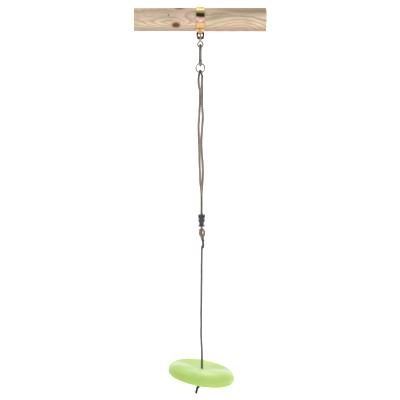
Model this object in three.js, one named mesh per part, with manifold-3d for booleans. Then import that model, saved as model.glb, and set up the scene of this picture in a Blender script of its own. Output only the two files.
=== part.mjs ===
// Disc swing: a moulded plastic disc seat on a twisted rope, hung by a ring, a snap hook and a
// twisted wire link from a steel band clamp around a short round timber pole.
// Millimetres. +X runs along the pole, +Y to the back, +Z up.
// Origin: the centre of the pole's left end face. All but the pole is placed from the hanging
// line, the vertical line through the middle of the clamp.
import * as THREE from "three";
import { mergeVertices } from "three/addons/utils/BufferGeometryUtils.js";
import Module from "manifold-3d";

// ---- driving dimensions ----
const radians = THREE.MathUtils.degToRad;

const POLE_LENGTH = 566;
const POLE_R_LEFT = 49.6;
const POLE_R_RIGHT = 51.2;
const CLAMP_FROM_LEFT = 284; // hanging line, from the left end face

const BAND_WIDTH = 35;
const BAND_R = 51; // inner radius
const BAND_T = 3.5;
const EAR_WIDTH = 16;
const EAR_GAP = 3.9; // inner face of each ear from the middle plane
const CLAMP_BOLT_Z = -58.5;
const CLAMP_BOLT_R = 2.5;
const CLAMP_HOLE_R = 2.8; // in the ears and the stirrup
const CLAMP_NUT_HOLE_R = 2.75;

const STIRRUP_R = 3.9; // bar radius
const STIRRUP_HALF = 13.4; // centre of each leg from the middle plane
const LINK_BOLT_Z = -78;
const LINK_BOLT_R = 3;
const LINK_HOLE_R = 3.25; // in every part on the link bolt
const LINK_HEX_R = 5.6; // bolt head and nut, over the corners
const WASHER_R = 6;
const WASHER_T = 1.1;
const WASHER_X = 11.1; // washer centre from the middle plane
const BUSH_R = 6.5;
const BUSH_HALF = 6.1;
const EYE_IN = 6.4; // stirrup eyes, inner and outer faces
const EYE_OUT = 10.3;

const LINK_R = 3.4; // wire of the twisted link
const HOOK_R = 5.2; // rod of the snap hook
const HOOK_TOP_Z = -107.6; // rod centre at the top bend
const HOOK_FOOT_Z = -195.4; // rod centre at the foot bend
const GATE_R = 4.5;
const GATE_PIN_Y = -10.9;
const GATE_PIN_Z = -131;
const GATE_PIN_R = 1.5;
const GATE_PIN_HOLE_R = 1.8;
const HOOK_TURN = radians(8); // the hook's plane, turned about the hanging line

const RING_MEAN_R = 19.8;
const RING_R = 3.2;
const RING_GAP = 0.4; // between the hook's foot and the ring
const RING_Z = HOOK_FOOT_Z + HOOK_R + RING_GAP + RING_R - RING_MEAN_R; // ring centre
const RING_TURN = radians(20); // the ring's plane, turned about the hanging line

const ROPE_R = 5;
const ROPE_TURN_X = 6.4; // where the single rope turns under the knot
const ROPE_TURN_Z = -993.6;
const ROPE_END_Z = -1576; // lower end of the single rope
const ADJ_X = 5.3; // centre of the adjuster
const ADJ_TOP = -844;
const ADJ_BOTTOM = -895;
const ADJ_HOLE_Y = 6.5;
const ADJ_HOLE_R = 5.5;

const SEAT_R = 149.5;
const SEAT_H = 45;
const SEAT_ROLL = radians(9.5); // left side up
const SEAT_PITCH = radians(1.5); // front side down
const SEAT_PIVOT = [7.2, 0, -1543]; // where the rope passes the hub
const SEAT_TOP = 13; // top of the rim above the pivot
const BALL_R = 16; // ball-shaped underside of the hub
const CUP_R = 16.35; // hollow of the washer it rests in
const CUP_BOTTOM = -19; // underside of that washer, from the pivot

const FINISHES = {
  pole: { color: 0xcdb69b, roughness: 0.85, metalness: 0 },
  clamp_band: { color: 0xe6c47e, roughness: 0.35, metalness: 0.9 },
  stirrup: { color: 0x3a2416, roughness: 0.45, metalness: 0.7 },
  clamp_bolt: { color: 0x5a3c22, roughness: 0.4, metalness: 0.8 },
  clamp_nut: { color: 0x8a6a42, roughness: 0.4, metalness: 0.85 },
  link_bolt: { color: 0x9a948c, roughness: 0.4, metalness: 0.9 },
  link_nut: { color: 0xa09a92, roughness: 0.4, metalness: 0.9 },
  washer_left: { color: 0xb0aaa2, roughness: 0.4, metalness: 0.9 },
  washer_right: { color: 0xb0aaa2, roughness: 0.4, metalness: 0.9 },
  link_bush: { color: 0x241c18, roughness: 0.6, metalness: 0 },
  twist_link: { color: 0xb8aea4, roughness: 0.35, metalness: 0.95 },
  snap_hook: { color: 0xa39c94, roughness: 0.35, metalness: 0.95 },
  hook_gate: { color: 0xb9b4ac, roughness: 0.3, metalness: 0.95 },
  gate_pin: { color: 0x8c867e, roughness: 0.4, metalness: 0.95 },
  ring: { color: 0xd2cec8, roughness: 0.25, metalness: 1 },
  rope_loop: { color: 0x8c7b6c, roughness: 0.95, metalness: 0 },
  adjuster: { color: 0x1c2026, roughness: 0.5, metalness: 0 },
  stopper_knot: { color: 0x9c8a78, roughness: 0.95, metalness: 0 },
  rope_neck: { color: 0x8a7a6c, roughness: 0.95, metalness: 0 },
  rope_tail: { color: 0x8a7a6c, roughness: 0.95, metalness: 0 },
  whip_tail: { color: 0x463c36, roughness: 0.8, metalness: 0 },
  rope_lower: { color: 0x8a8078, roughness: 0.95, metalness: 0 },
  seat: { color: 0xb4dc6e, roughness: 0.45, metalness: 0 },
  seat_washer: { color: 0x2a2c2e, roughness: 0.5, metalness: 0 },
  seat_knot: { color: 0x5a5048, roughness: 0.95, metalness: 0 },
  seat_tail: { color: 0x3a3438, roughness: 0.9, metalness: 0 },
  whip_seat_tail: { color: 0x2c2830, roughness: 0.7, metalness: 0 },
};

// ---- solid helpers ----
const wasm = await Module();
wasm.setup();

function solid(geometry) {
  geometry.deleteAttribute("normal");
  geometry.deleteAttribute("uv");
  const merged = mergeVertices(geometry, 1e-4);
  return new wasm.Manifold(
    new wasm.Mesh({
      numProp: 3,
      vertProperties: new Float32Array(merged.attributes.position.array),
      triVerts: new Uint32Array(merged.index.array),
    }),
  );
}

function geometryOf(shape) {
  const mesh = shape.getMesh();
  const geometry = new THREE.BufferGeometry();
  geometry.setAttribute("position", new THREE.BufferAttribute(mesh.vertProperties, 3));
  geometry.setIndex(new THREE.BufferAttribute(mesh.triVerts, 1));
  geometry.computeVertexNormals();
  return geometry;
}

const smoothCurve = (points, closed = false) =>
  new THREE.CatmullRomCurve3(points.map((p) => new THREE.Vector3(...p)), closed, "centripetal");

// The part of a vector square to a unit tangent, made unit length.
const squareTo = (tangent, vector) =>
  vector.addScaledVector(tangent, -vector.dot(tangent)).normalize();

// A round bar along a smooth curve through points, with flat end caps when open.
// Its rings are evenly spaced along the curve, or, with byPoints, in the curve's own parameter.
function bar(points, radius, steps, sides, { closed = false, byPoints = false } = {}) {
  const curve = smoothCurve(points, closed);
  const count = closed ? steps : steps + 1;
  const centres = [];
  const tangents = [];
  for (let i = 0; i < count; i++) {
    const t = i / steps;
    centres.push(byPoints ? curve.getPoint(t) : curve.getPointAt(t));
    tangents.push(byPoints ? curve.getTangent(t) : curve.getTangentAt(t));
  }

  // normals carried along the curve with the least turning
  const first = tangents[0];
  const carry = (normal, from, to) =>
    normal.clone().applyQuaternion(new THREE.Quaternion().setFromUnitVectors(from, to));
  const seed = Math.abs(first.x) < 0.8 ? [1, 0, 0] : [0, 1, 0];
  const normals = [squareTo(first, new THREE.Vector3(...seed))];
  for (let i = 1; i < count; i++) {
    normals.push(squareTo(tangents[i], carry(normals[i - 1], tangents[i - 1], tangents[i])));
  }

  // a closed bar spreads the leftover twist over its length, so that the ends meet
  let twist = 0;
  if (closed) {
    const last = carry(normals[count - 1], tangents[count - 1], first);
    const binormal = first.clone().cross(normals[0]);
    twist = Math.atan2(last.dot(binormal), last.dot(normals[0]));
  }

  const vertices = [];
  for (let i = 0; i < count; i++) {
    const binormal = tangents[i].clone().cross(normals[i]);
    for (let k = 0; k < sides; k++) {
      const angle = (2 * Math.PI * k) / sides - (twist * i) / count;
      const vertex = centres[i]
        .clone()
        .addScaledVector(normals[i], radius * Math.cos(angle))
        .addScaledVector(binormal, radius * Math.sin(angle));
      vertices.push(...vertex);
    }
  }
  const faces = [];
  for (let i = 0; i < (closed ? count : count - 1); i++) {
    const row = i * sides;
    const next = ((i + 1) % count) * sides;
    for (let k = 0; k < sides; k++) {
      const l = (k + 1) % sides;
      faces.push(row + k, row + l, next + l);
      faces.push(row + k, next + l, next + k);
    }
  }
  if (!closed) {
    const hub = count * sides;
    const lastRow = hub - sides;
    vertices.push(...centres[0], ...centres[count - 1]);
    for (let k = 0; k < sides; k++) {
      const l = (k + 1) % sides;
      faces.push(hub, l, k);
      faces.push(hub + 1, lastRow + k, lastRow + l);
    }
  }
  const geometry = new THREE.BufferGeometry();
  geometry.setAttribute("position", new THREE.Float32BufferAttribute(vertices, 3));
  geometry.setIndex(faces);
  return solid(geometry);
}

// A cylinder centred at a point; endRadius is the radius at the + end of its axis.
// The spin turns its facets about the axis.
function cylinder(radius, length, sides, axis, at, { spin = 0, endRadius = radius } = {}) {
  const geometry = new THREE.CylinderGeometry(endRadius, radius, length, sides);
  geometry.rotateY(spin);
  if (axis === "x") geometry.rotateZ(-Math.PI / 2);
  if (axis === "z") geometry.rotateX(Math.PI / 2);
  geometry.translate(...at);
  return solid(geometry);
}

function box([x0, x1], [y0, y1], [z0, z1]) {
  const geometry = new THREE.BoxGeometry(x1 - x0, y1 - y0, z1 - z0);
  geometry.translate((x0 + x1) / 2, (y0 + y1) / 2, (z0 + z1) / 2);
  return solid(geometry);
}

// A profile of [radius, height] turned about Z. It runs anticlockwise, radius to the right and
// height up, and either starts and ends on the axis or is closed.
function turned(profile, sides) {
  const geometry = new THREE.LatheGeometry(profile.map((p) => new THREE.Vector2(...p)), sides);
  geometry.rotateX(Math.PI / 2);
  return solid(geometry);
}

const closedProfile = (profile) => [...profile, profile[0]];
const join = (list) => list.reduce((a, b) => a.add(b));
const cut = (body, tools) => tools.reduce((a, b) => a.subtract(b), body);
const inPlaneYZ = (points) => points.map(([y, z]) => [0, y, z]);

// Pressed rope has no closed voids: joins the turns and keeps only their outer surface.
function filled(list) {
  return join(list)
    .decompose()
    .reduce((a, b) => (b.volume() > a.volume() ? b : a));
}

// ---- pole and clamp ----

// Round timber, a little thicker at the right end.
function pole() {
  return cylinder(POLE_R_LEFT, POLE_LENGTH, 56, "x", [POLE_LENGTH / 2, 0, 0], {
    spin: Math.PI / 56,
    endRadius: POLE_R_RIGHT,
  });
}

const clampBore = (radius) => cylinder(radius, 30, 20, "y", [0, 0, CLAMP_BOLT_Z]);
const linkBore = () => cylinder(LINK_HOLE_R, 60, 20, "x", [0, 0, LINK_BOLT_Z]);

// A strap around the pole with its two ends turned down into ears under it.
function clampBand() {
  const earTop = -51.6;
  const earEndR = EAR_WIDTH / 2 - 2;
  const strap = cut(cylinder(BAND_R + BAND_T, BAND_WIDTH, 56, "x", [0, 0, 0]), [
    cylinder(BAND_R, BAND_WIDTH + 2, 56, "x", [0, 0, 0]),
    box([-20, 20], [-EAR_GAP, EAR_GAP], [-60, -40]),
  ]);
  const ears = [-EAR_GAP - BAND_T, EAR_GAP].flatMap((y) => [
    box([-EAR_WIDTH / 2, EAR_WIDTH / 2], [y, y + BAND_T], [CLAMP_BOLT_Z, earTop]),
    cylinder(earEndR, BAND_T, 24, "y", [0, y + BAND_T / 2, CLAMP_BOLT_Z]),
  ]);
  return join([strap, ...ears]).subtract(clampBore(CLAMP_HOLE_R));
}

// A crossbar held between the ears, and two legs that close in to a pair of eyes.
function stirrup() {
  const crossbarHalfY = 3.6;
  const eyeR = 7;
  const washerSeatR = 7.4;
  const seatCut = 10; // length of the cut outside each eye
  const parts = [
    box([-16.6, 16.6], [-crossbarHalfY, crossbarHalfY], [-61, -51.4]),
    cylinder(5, 2 * crossbarHalfY, 24, "y", [0, 0, CLAMP_BOLT_Z]),
  ];
  // room for the bush between the eyes
  const cuts = [
    box([-EYE_IN, EYE_IN], [-9, 9], [LINK_BOLT_Z - 12, LINK_BOLT_Z + 12]),
    clampBore(CLAMP_HOLE_R),
    linkBore(),
  ];
  for (const side of [-1, 1]) {
    const leg = [
      [side * STIRRUP_HALF, 0, -57],
      [side * STIRRUP_HALF, 0, -61],
      [side * STIRRUP_HALF, 0, -67],
      [side * 12.2, 0, -71.5],
      [side * 8.8, 0, -75.2],
    ];
    const eyeAt = [(side * (EYE_OUT + EYE_IN)) / 2, 0, LINK_BOLT_Z];
    parts.push(bar(leg, STIRRUP_R, 8, 10));
    parts.push(cylinder(eyeR, EYE_OUT - EYE_IN, 24, "x", eyeAt));
    // seat of the washer on the outer face
    const seatAt = [side * (EYE_OUT + seatCut / 2), 0, LINK_BOLT_Z];
    cuts.push(cylinder(washerSeatR, seatCut, 24, "x", seatAt));
  }
  return cut(join(parts), cuts);
}

// Closing bolt of the band, along Y, with a six-sided socket in its front end.
function clampBolt() {
  const shank = cylinder(CLAMP_BOLT_R, 25.6, 20, "y", [0, 1.8, CLAMP_BOLT_Z]);
  const head = cylinder(4.2, 3.6, 28, "y", [0, -9.5, CLAMP_BOLT_Z]);
  const socket = cylinder(2.3, 4, 6, "y", [0, -12, CLAMP_BOLT_Z]);
  return shank.add(head).subtract(socket);
}

function clampNut() {
  const hexagon = cylinder(4.6, 4, 6, "y", [0, 9.7, CLAMP_BOLT_Z], { spin: Math.PI / 6 });
  return hexagon.subtract(clampBore(CLAMP_NUT_HOLE_R));
}

// ---- cross bolt through the eyes, along X, and the link it carries ----

function linkBolt() {
  const shank = cylinder(LINK_BOLT_R, 29.6, 20, "x", [2.4, 0, LINK_BOLT_Z]);
  return shank.add(cylinder(LINK_HEX_R, 3.6, 6, "x", [-13.7, 0, LINK_BOLT_Z]));
}

// A collar on the link bolt, centred at x: the nut, the washers and the bush.
const collar = (radius, length, sides, x) =>
  cylinder(radius, length, sides, "x", [x, 0, LINK_BOLT_Z]).subtract(linkBore());

// One closed wire, an upper eye across the bush and a lower bow a quarter turn round.
function twistLink() {
  // one side from top to bottom; the other is the same turned half round
  const side = [
    [0, -7.2, -71],
    [0, -10.35, -78.6],
    [0.9, -8.2, -86.2],
    [3, -2.5, -91.8],
    [7.4, -0.6, -96.4],
    [11.2, 0, -102.4],
    [10.4, 0, -109.8],
    [6, 0, -114.8],
  ];
  const otherSide = side.map(([x, y, z]) => [-x, -y, z]).reverse();
  const points = [[0, 0, -67.9], ...side, [0, 0, -116.5], ...otherSide];
  return bar(points, LINK_R, 60, 8, { closed: true });
}

// ---- snap hook, in its own YZ plane ----

const gatePinRod = (radius, length, sides, x = 0) =>
  cylinder(radius, length, sides, "x", [x, GATE_PIN_Y, GATE_PIN_Z]);
const gatePinBore = () => gatePinRod(GATE_PIN_HOLE_R, 12, 16);

// One bent rod, open at the front for the gate, with a flat tongue for the gate pin.
function snapHook() {
  // y, z from the gate pin over the top, down the back and round the foot
  const path = [
    [GATE_PIN_Y + 0.1, -127],
    [-10.3, -121.5],
    [-9.4, -114.8],
    [-5.6, -109.3],
    [0, HOOK_TOP_Z],
    [5.6, -109.3],
    [9.4, -114.8],
    [10.8, -122],
    [13.2, -148],
    [15.9, -176],
    [14.6, HOOK_FOOT_Z + 9.3],
    [8.8, HOOK_FOOT_Z + 2.6],
    [0, HOOK_FOOT_Z],
    [-8.8, HOOK_FOOT_Z + 2.6],
    [-14.6, HOOK_FOOT_Z + 9.3],
    [-16.2, -177],
    [-15.4, -168.6],
  ];
  const tongueHalf = 1.7;
  const tongueR = 3;
  const rod = bar(inPlaneYZ(path), HOOK_R, 46, 10);
  const tongue = box(
    [-tongueHalf, tongueHalf],
    [GATE_PIN_Y - tongueR, GATE_PIN_Y + tongueR],
    [GATE_PIN_Z, -124],
  );
  return join([rod, tongue, gatePinRod(tongueR, 2 * tongueHalf, 20)]).subtract(gatePinBore());
}

// A rod with a fork over the tongue.
function hookGate() {
  const path = [
    [GATE_PIN_Y - 0.1, GATE_PIN_Z - 3],
    [GATE_PIN_Y - 1.6, GATE_PIN_Z - 14],
    [GATE_PIN_Y - 3.1, GATE_PIN_Z - 25],
    [GATE_PIN_Y - 4.4, GATE_PIN_Z - 36.6],
  ];
  const forkSlot = box(
    [-2.1, 2.1],
    [GATE_PIN_Y - 7, GATE_PIN_Y + 7],
    [GATE_PIN_Z - 4.2, GATE_PIN_Z + 6],
  );
  const rod = bar(inPlaneYZ(path), GATE_R, 6, 10);
  return cut(rod.add(gatePinRod(3.8, 8.4, 16)), [forkSlot, gatePinBore()]);
}

// A pin with a thin head at each end.
function gatePin() {
  const heads = [-5.3, 5.3].map((x) => gatePinRod(2.4, 0.8, 16, x));
  return join([gatePinRod(GATE_PIN_R, 10.2, 16), ...heads]);
}

// ---- ring and rope ----

function ring() {
  const points = [];
  for (let i = 0; i < 36; i++) {
    const angle = (2 * Math.PI * i) / 36;
    const across = RING_MEAN_R * Math.sin(angle);
    points.push([
      across * Math.cos(RING_TURN),
      -across * Math.sin(RING_TURN),
      RING_Z + RING_MEAN_R * Math.cos(angle),
    ]);
  }
  return bar(points, RING_R, 36, 8, { closed: true });
}

// Rope over the ring: two strands that run side by side down to the knot under the adjuster.
function ropeLoop() {
  // z, distance of each strand from the middle plane, x of the front strand, x of the back one
  const stations = [
    [-240, 7.4, -6.7, 7.5],
    [-275, 6.6, -7.1, 6.7],
    [-301, 6.3, -3.2, 8.4],
    [-344, 6.3, -2.4, 9.3],
    [-378, 6.3, -4.1, 9.3],
    [-421, 6, -5.4, 11],
    [-447, 5.6, -7.6, 8.9],
    [-473, 5.4, -7.6, 7.6],
    [-517, 5.4, -6.3, 4.6],
    [-569, 5.6, -4.6, 5.9],
    [-609, 5.8, -3.7, 9.3],
    [-661, 6.2, -2, 11.1],
    [-692, 6.4, -1.1, 10.2],
    [-727, ADJ_HOLE_Y, 2.4, 7.6],
    [-745, ADJ_HOLE_Y, 4.9, 5.8],
    [-762, ADJ_HOLE_Y, ADJ_X, ADJ_X],
    [-800, ADJ_HOLE_Y, ADJ_X, ADJ_X],
    [-850, ADJ_HOLE_Y, ADJ_X, ADJ_X],
    [-901, ADJ_HOLE_Y, ADJ_X, ADJ_X],
  ];
  const front = stations.map(([z, y, frontX]) => [frontX, -y, z]).reverse();
  const back = stations.map(([z, y, , backX]) => [backX, y, z]);

  // half circle over the bottom of the ring, square to the ring's plane
  const saddleR = RING_R + ROPE_R + 0.3;
  const saddleZ = RING_Z - RING_MEAN_R;
  const saddle = [];
  for (let i = 0; i <= 6; i++) {
    const angle = Math.PI - (Math.PI * i) / 6;
    const across = saddleR * Math.cos(angle);
    saddle.push([
      across * Math.sin(RING_TURN),
      across * Math.cos(RING_TURN),
      saddleZ + saddleR * Math.sin(angle),
    ]);
  }

  // two steps per span keep the tight saddle smooth, one keeps the long strands light
  const points = [...front, ...saddle, ...back];
  const curve = smoothCurve(points);
  const spans = points.length - 1;
  const firstFine = front.length - 2;
  const lastFine = front.length + saddle.length - 1;
  const path = [];
  for (let i = 0; i < spans; i++) {
    const steps = i >= firstFine && i <= lastFine ? 2 : 1;
    for (let k = 0; k < steps; k++) path.push(curve.getPoint((i + k / steps) / spans).toArray());
  }
  path.push(points[spans]);
  return bar(path, ROPE_R, path.length - 1, 8, { byPoints: true });
}

// An upright block with rounded corners, centred on the adjuster.
function adjusterSlab([halfX, halfY, bottom, top]) {
  const r = halfX * 0.75;
  const shape = new THREE.Shape();
  // side in x, side in y, start angle in half turns
  for (const [sideX, sideY, start] of [[1, -1, -0.5], [1, 1, 0], [-1, 1, 0.5], [-1, -1, 1]]) {
    const from = start * Math.PI;
    shape.absarc(sideX * (halfX - r), sideY * (halfY - r), r, from, from + Math.PI / 2, false);
  }
  const geometry = new THREE.ExtrudeGeometry(shape, {
    depth: top - bottom,
    bevelEnabled: false,
    curveSegments: 3,
  });
  geometry.translate(ADJ_X, 0, bottom);
  return solid(geometry);
}

// A finned block with two holes, one for each strand.
function adjuster() {
  // half size in x, half size in y, bottom, top
  const slabs = [
    [9.4, 15, ADJ_BOTTOM, ADJ_TOP], // core
    [15.5, 20, -859, ADJ_TOP - 0.01], // top flange
    [15.4, 19.4, -867.4, -863.6],
    [15.4, 19.4, -876.2, -872.4],
    [11.6, 16.4, -873, -866.8], // web between the two ribs
    [10.6, 15.8, -885.2, -882.4],
    [15.5, 20, ADJ_BOTTOM + 0.01, -891.2], // bottom flange
  ];
  // the mouth between the two raised horns of the top flange
  const mouth = box([ADJ_X - 4.5, ADJ_X + 4.5], [-30, 30], [-851, -840]);
  const holes = [-ADJ_HOLE_Y, ADJ_HOLE_Y].map((y) =>
    cylinder(ADJ_HOLE_R, 70, 16, "z", [ADJ_X, y, -870]),
  );
  return cut(join(slabs.map(adjusterSlab)), [mouth, ...holes]);
}

// Knot under the adjuster: both strands turned into one fat knot.
function stopperKnot() {
  const frontStrand = [
    [5.3, -6.5, -901.5], [5, -6.5, -904.5], [1, -7, -911], [-1.7, -6, -920],
    [-1.6, -4, -931], [2.4, -2, -940], [5.6, 0, -945.5], [5.9, 0, -949.6],
  ];
  const backStrand = [
    [5.3, 6.5, -901.5], [5.6, 6.5, -904.5], [11.6, 6.5, -911], [17, 4.4, -920],
    [17.6, 1, -930], [14, 0, -938], [8.6, 0, -944],
  ];
  const middle = [[7, 0, -908], [4.4, -4, -916], [4.2, -4, -928], [8, -2, -939]];
  const upperTurn = [[-1.2, -1, -911], [5.8, -9.6, -909], [13.4, -1, -912], [5.8, 8.6, -913]];
  const lowerTurn = [[1.6, -2, -936], [8.2, -8, -939], [14.6, -1, -936.6], [8, 6, -936]];
  const tailStart = [[12, -1, -934], [12.2, -6.5, -941], [11.8, -10, -946], [11.8, -10.2, -950]];
  return filled([
    bar(frontStrand, ROPE_R, 9, 8),
    bar(backStrand, ROPE_R, 8, 8),
    bar(middle, ROPE_R, 5, 8),
    bar(upperTurn, ROPE_R, 12, 8, { closed: true }),
    bar(lowerTurn, ROPE_R, 12, 8, { closed: true }),
    cylinder(7, 9, 10, "z", [5.8, 0, -911.5]),
    cylinder(6, 8, 10, "z", [8, -1, -938]),
    bar(tailStart, ROPE_R, 5, 8),
  ]);
}

// Neck of the single rope where it leaves the knot, down to the place where it turns.
function ropeNeck() {
  const path = [
    [5.9, 0, -950], [5.9, 0, -952], [8.8, 0, -958], [10.9, 0, -965], [10.9, 0, -976],
    [9.2, 0, -983.4], [6.7, 0, -988], [ROPE_TURN_X, 0, -991.4],
    [ROPE_TURN_X, 0, ROPE_TURN_Z + 0.4],
  ];
  return bar(path, ROPE_R, 13, 8);
}

// Tail of the stopper knot.
function ropeTail() {
  const path = [
    [11.8, -10.2, -951], [12.2, -10.3, -954], [13.8, -10.4, -959],
    [12, -10.4, -966], [13.9, -10.4, -974], [12.6, -10.4, -982],
  ];
  return bar(path, 4.7, 11, 10);
}

// Bound end of that tail.
function whipTail() {
  return bar([[12.55, -10.4, -982.5], [12, -10.3, -987], [11.4, -10.2, -991.5]], 4.8, 4, 10);
}

// Single rope down to the seat; its lowest span passes straight through the hub.
function ropeLower() {
  const path = [
    [ROPE_TURN_X, 0, ROPE_TURN_Z - 0.2],
    [ROPE_TURN_X, 0, -997],
    [6, 0, -1028],
    [5.5, 0.4, -1064],
    [5.2, 0.6, -1136],
    [4.6, 0.4, -1190],
    [4.2, 0, -1244],
    [3.4, -0.4, -1294],
    [4.1, -0.6, -1334],
    [3.1, -0.6, -1375],
    [4.4, -0.4, -1407],
    [6, 0, -1444],
    ...[-1480, -1510, -1532, -1548, ROPE_END_Z].map((z) => [SEAT_PIVOT[0], 0, z]),
  ];
  return bar(path, ROPE_R, 30, 8);
}

// ---- seat, in its own frame about the pivot, which is the hub's ball centre ----

// A dished disc with a rounded rim and a skirt.
function seatShell() {
  const lip = SEAT_TOP - SEAT_H;
  // radius, height: out along the underside, round the lip and back over the top
  const profile = [
    [8.6, -4.4],
    [22, -1.6],
    [50, 3.4],
    [85, 5.8],
    [112, SEAT_TOP - 6],
    [124, SEAT_TOP - 7.6],
    [133, SEAT_TOP - 12],
    [139.2, SEAT_TOP - 19],
    [142.4, SEAT_TOP - 27],
    [143.8, lip + 6],
    [143.6, lip],
    [146.2, lip],
    [SEAT_R - 1.5, lip + 2.8],
    [SEAT_R - 0.4, lip + 7.8],
    [SEAT_R, SEAT_TOP - 31.4],
    [148.8, SEAT_TOP - 25],
    [146.7, SEAT_TOP - 18.4],
    [142.8, SEAT_TOP - 12.4],
    [137, SEAT_TOP - 7.4],
    [130, SEAT_TOP - 4],
    [122, SEAT_TOP - 1.8],
    [113, SEAT_TOP - 0.5],
    [103, SEAT_TOP - 0.2],
    [85, 11.4],
    [50, 9],
    [8.6, 7.8],
  ];
  return turned(closedProfile(profile), 48);
}

// The lower part of a ball, flat on top.
function seatHub() {
  const profile = [[0, -BALL_R]];
  for (let i = 1; i <= 6; i++) {
    const angle = radians(-90 + i * 12.6);
    profile.push([BALL_R * Math.cos(angle), BALL_R * Math.sin(angle)]);
  }
  profile.push([BALL_R + 0.6, -0.5], [0, -0.5]);
  return turned(profile, 28);
}

// An upright radial rib under the shell.
function seatRib(angle) {
  const thickness = 3;
  // radius, height
  const outline = [
    [14, -2.6], [27, -7], [52, -17], [144.6, -25], [144.4, -15],
    [136, 0], [124, 7], [85, 7], [50, 4.6], [14, -1.6],
  ];
  const shape = new THREE.Shape(outline.map((p) => new THREE.Vector2(...p)));
  const geometry = new THREE.ExtrudeGeometry(shape, { depth: thickness, bevelEnabled: false });
  geometry.translate(0, 0, -thickness / 2);
  geometry.rotateX(Math.PI / 2);
  geometry.rotateZ(angle);
  return solid(geometry);
}

// The rope hole: a waist at the ball centre, flared both ways for the tilt.
function seatHole() {
  const waist = 5.9;
  const flare = Math.tan(radians(14.5));
  const top = 14;
  const depth = 20;
  const profile = [
    [0, -depth],
    [waist + depth * flare, -depth],
    [waist, 0],
    [waist + top * flare, top],
    [0, top],
  ];
  return turned(profile, 20);
}

function seat() {
  const ribs = [0, 1, 2, 3, 4, 5].map((i) => seatRib((Math.PI / 3) * i + Math.PI / 6));
  return join([seatShell(), seatHub(), ...ribs]).subtract(seatHole());
}

// Cup washer under the hub, level, centred on the same point.
function seatWasher() {
  const holeR = 5.9;
  const hollowEdgeR = 13.2;
  const profile = [[holeR, CUP_BOTTOM], [14.6, CUP_BOTTOM], [15.4, -14], [15, -9.9]];
  for (let i = 5; i >= 0; i--) {
    const r = holeR + (i * (hollowEdgeR - holeR)) / 5;
    profile.push([r, -Math.sqrt(CUP_R * CUP_R - r * r)]);
  }
  return turned(closedProfile(profile), 32).translate(SEAT_PIVOT);
}

// ---- knot that carries the washer, with the rope end hanging from it ----

const KNOT_X = SEAT_PIVOT[0];
const KNOT_Z = SEAT_PIVOT[2] + CUP_BOTTOM - ROPE_R - 0.5; // about the upper turn

// Places in the seat knot, from its upper turn.
const fromKnot = (points) => points.map(([x, y, z]) => [KNOT_X + x, y, KNOT_Z + z]);

// Points of one turn of rope; it rises by the tilt towards +X.
function turnPoints([x, y, z], radius, tilt, phase) {
  const points = [];
  for (let i = 0; i < 8; i++) {
    const angle = (2 * Math.PI * i) / 8 + phase;
    const cos = Math.cos(angle);
    points.push([x + radius * cos, y + radius * Math.sin(angle), z + tilt * cos]);
  }
  return fromKnot(points);
}

function seatKnot() {
  const wayOut = [[6, -4, -6], [2, -2, -12], [-3.6, 0, -14.5], [-6.9, 0, -20], [-9.1, 0, -25]];
  const core = [
    [KNOT_X, 0, ROPE_END_Z - 1],
    [KNOT_X, 0, KNOT_Z - 12],
    [KNOT_X - 1, 0, KNOT_Z - 17],
  ];
  const knot = filled([
    bar(turnPoints([0, 0, -0.4], 10.2, 0.4, 0), ROPE_R, 16, 8, { closed: true }),
    bar(turnPoints([0, 0, -8.6], 9.6, 1.2, 0.5), ROPE_R, 16, 8, { closed: true }),
    bar(fromKnot(wayOut), ROPE_R, 6, 8),
    bar(core, ROPE_R, 4, 8),
    cylinder(8, 6, 10, "z", [KNOT_X, 0, KNOT_Z - 11]),
  ]);
  // room for the end of the single rope
  return knot.subtract(cylinder(5.5, 30, 12, "z", [KNOT_X, 0, ROPE_END_Z - 0.6 + 15]));
}

// The rope end, with one more turn round it.
function seatTail() {
  const path = [
    [-9.3, 0, -25.5], [-11, -0.2, -30], [-14.6, -0.8, -42], [-17.6, -1.2, -50], [-20, -1.6, -57],
  ];
  return filled([
    bar(fromKnot(path), ROPE_R, 9, 10),
    bar(turnPoints([-17.6, -1.2, -49], 3.6, 1.4, 0), 4.9, 12, 8, { closed: true }),
  ]);
}

// Bound end of the rope.
function whipSeatTail() {
  const path = [[-20.2, -1.64, -57.5], [-22, -2, -63], [-24.2, -2.3, -72], [-26.6, -2.6, -84]];
  return bar(fromKnot(path), 5.6, 6, 10);
}

// ---- the assembly ----

function addPieces(parent, pieces) {
  for (const [name, shape] of Object.entries(pieces)) {
    const material = new THREE.MeshStandardMaterial(FINISHES[name]);
    const mesh = new THREE.Mesh(geometryOf(shape), material);
    mesh.name = name;
    parent.add(mesh);
  }
}

const group = new THREE.Group();
group.name = "disc_swing";
const hang = new THREE.Group();
hang.position.set(CLAMP_FROM_LEFT, 0, 0);
group.add(hang);

addPieces(group, { pole: pole() });
addPieces(hang, {
  clamp_band: clampBand(),
  stirrup: stirrup(),
  clamp_bolt: clampBolt(),
  clamp_nut: clampNut(),
  link_bolt: linkBolt(),
  link_nut: collar(LINK_HEX_R, 4, 6, 14),
  washer_left: collar(WASHER_R, WASHER_T, 28, -WASHER_X),
  washer_right: collar(WASHER_R, WASHER_T, 28, WASHER_X),
  link_bush: collar(BUSH_R, 2 * BUSH_HALF, 36, 0),
  twist_link: twistLink(),
});

const hookFrame = new THREE.Group();
hookFrame.rotation.z = HOOK_TURN;
hang.add(hookFrame);
addPieces(hookFrame, { snap_hook: snapHook(), hook_gate: hookGate(), gate_pin: gatePin() });

addPieces(hang, {
  ring: ring(),
  rope_loop: ropeLoop(),
  adjuster: adjuster(),
  stopper_knot: stopperKnot(),
  rope_neck: ropeNeck(),
  rope_tail: ropeTail(),
  whip_tail: whipTail(),
  rope_lower: ropeLower(),
});

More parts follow.
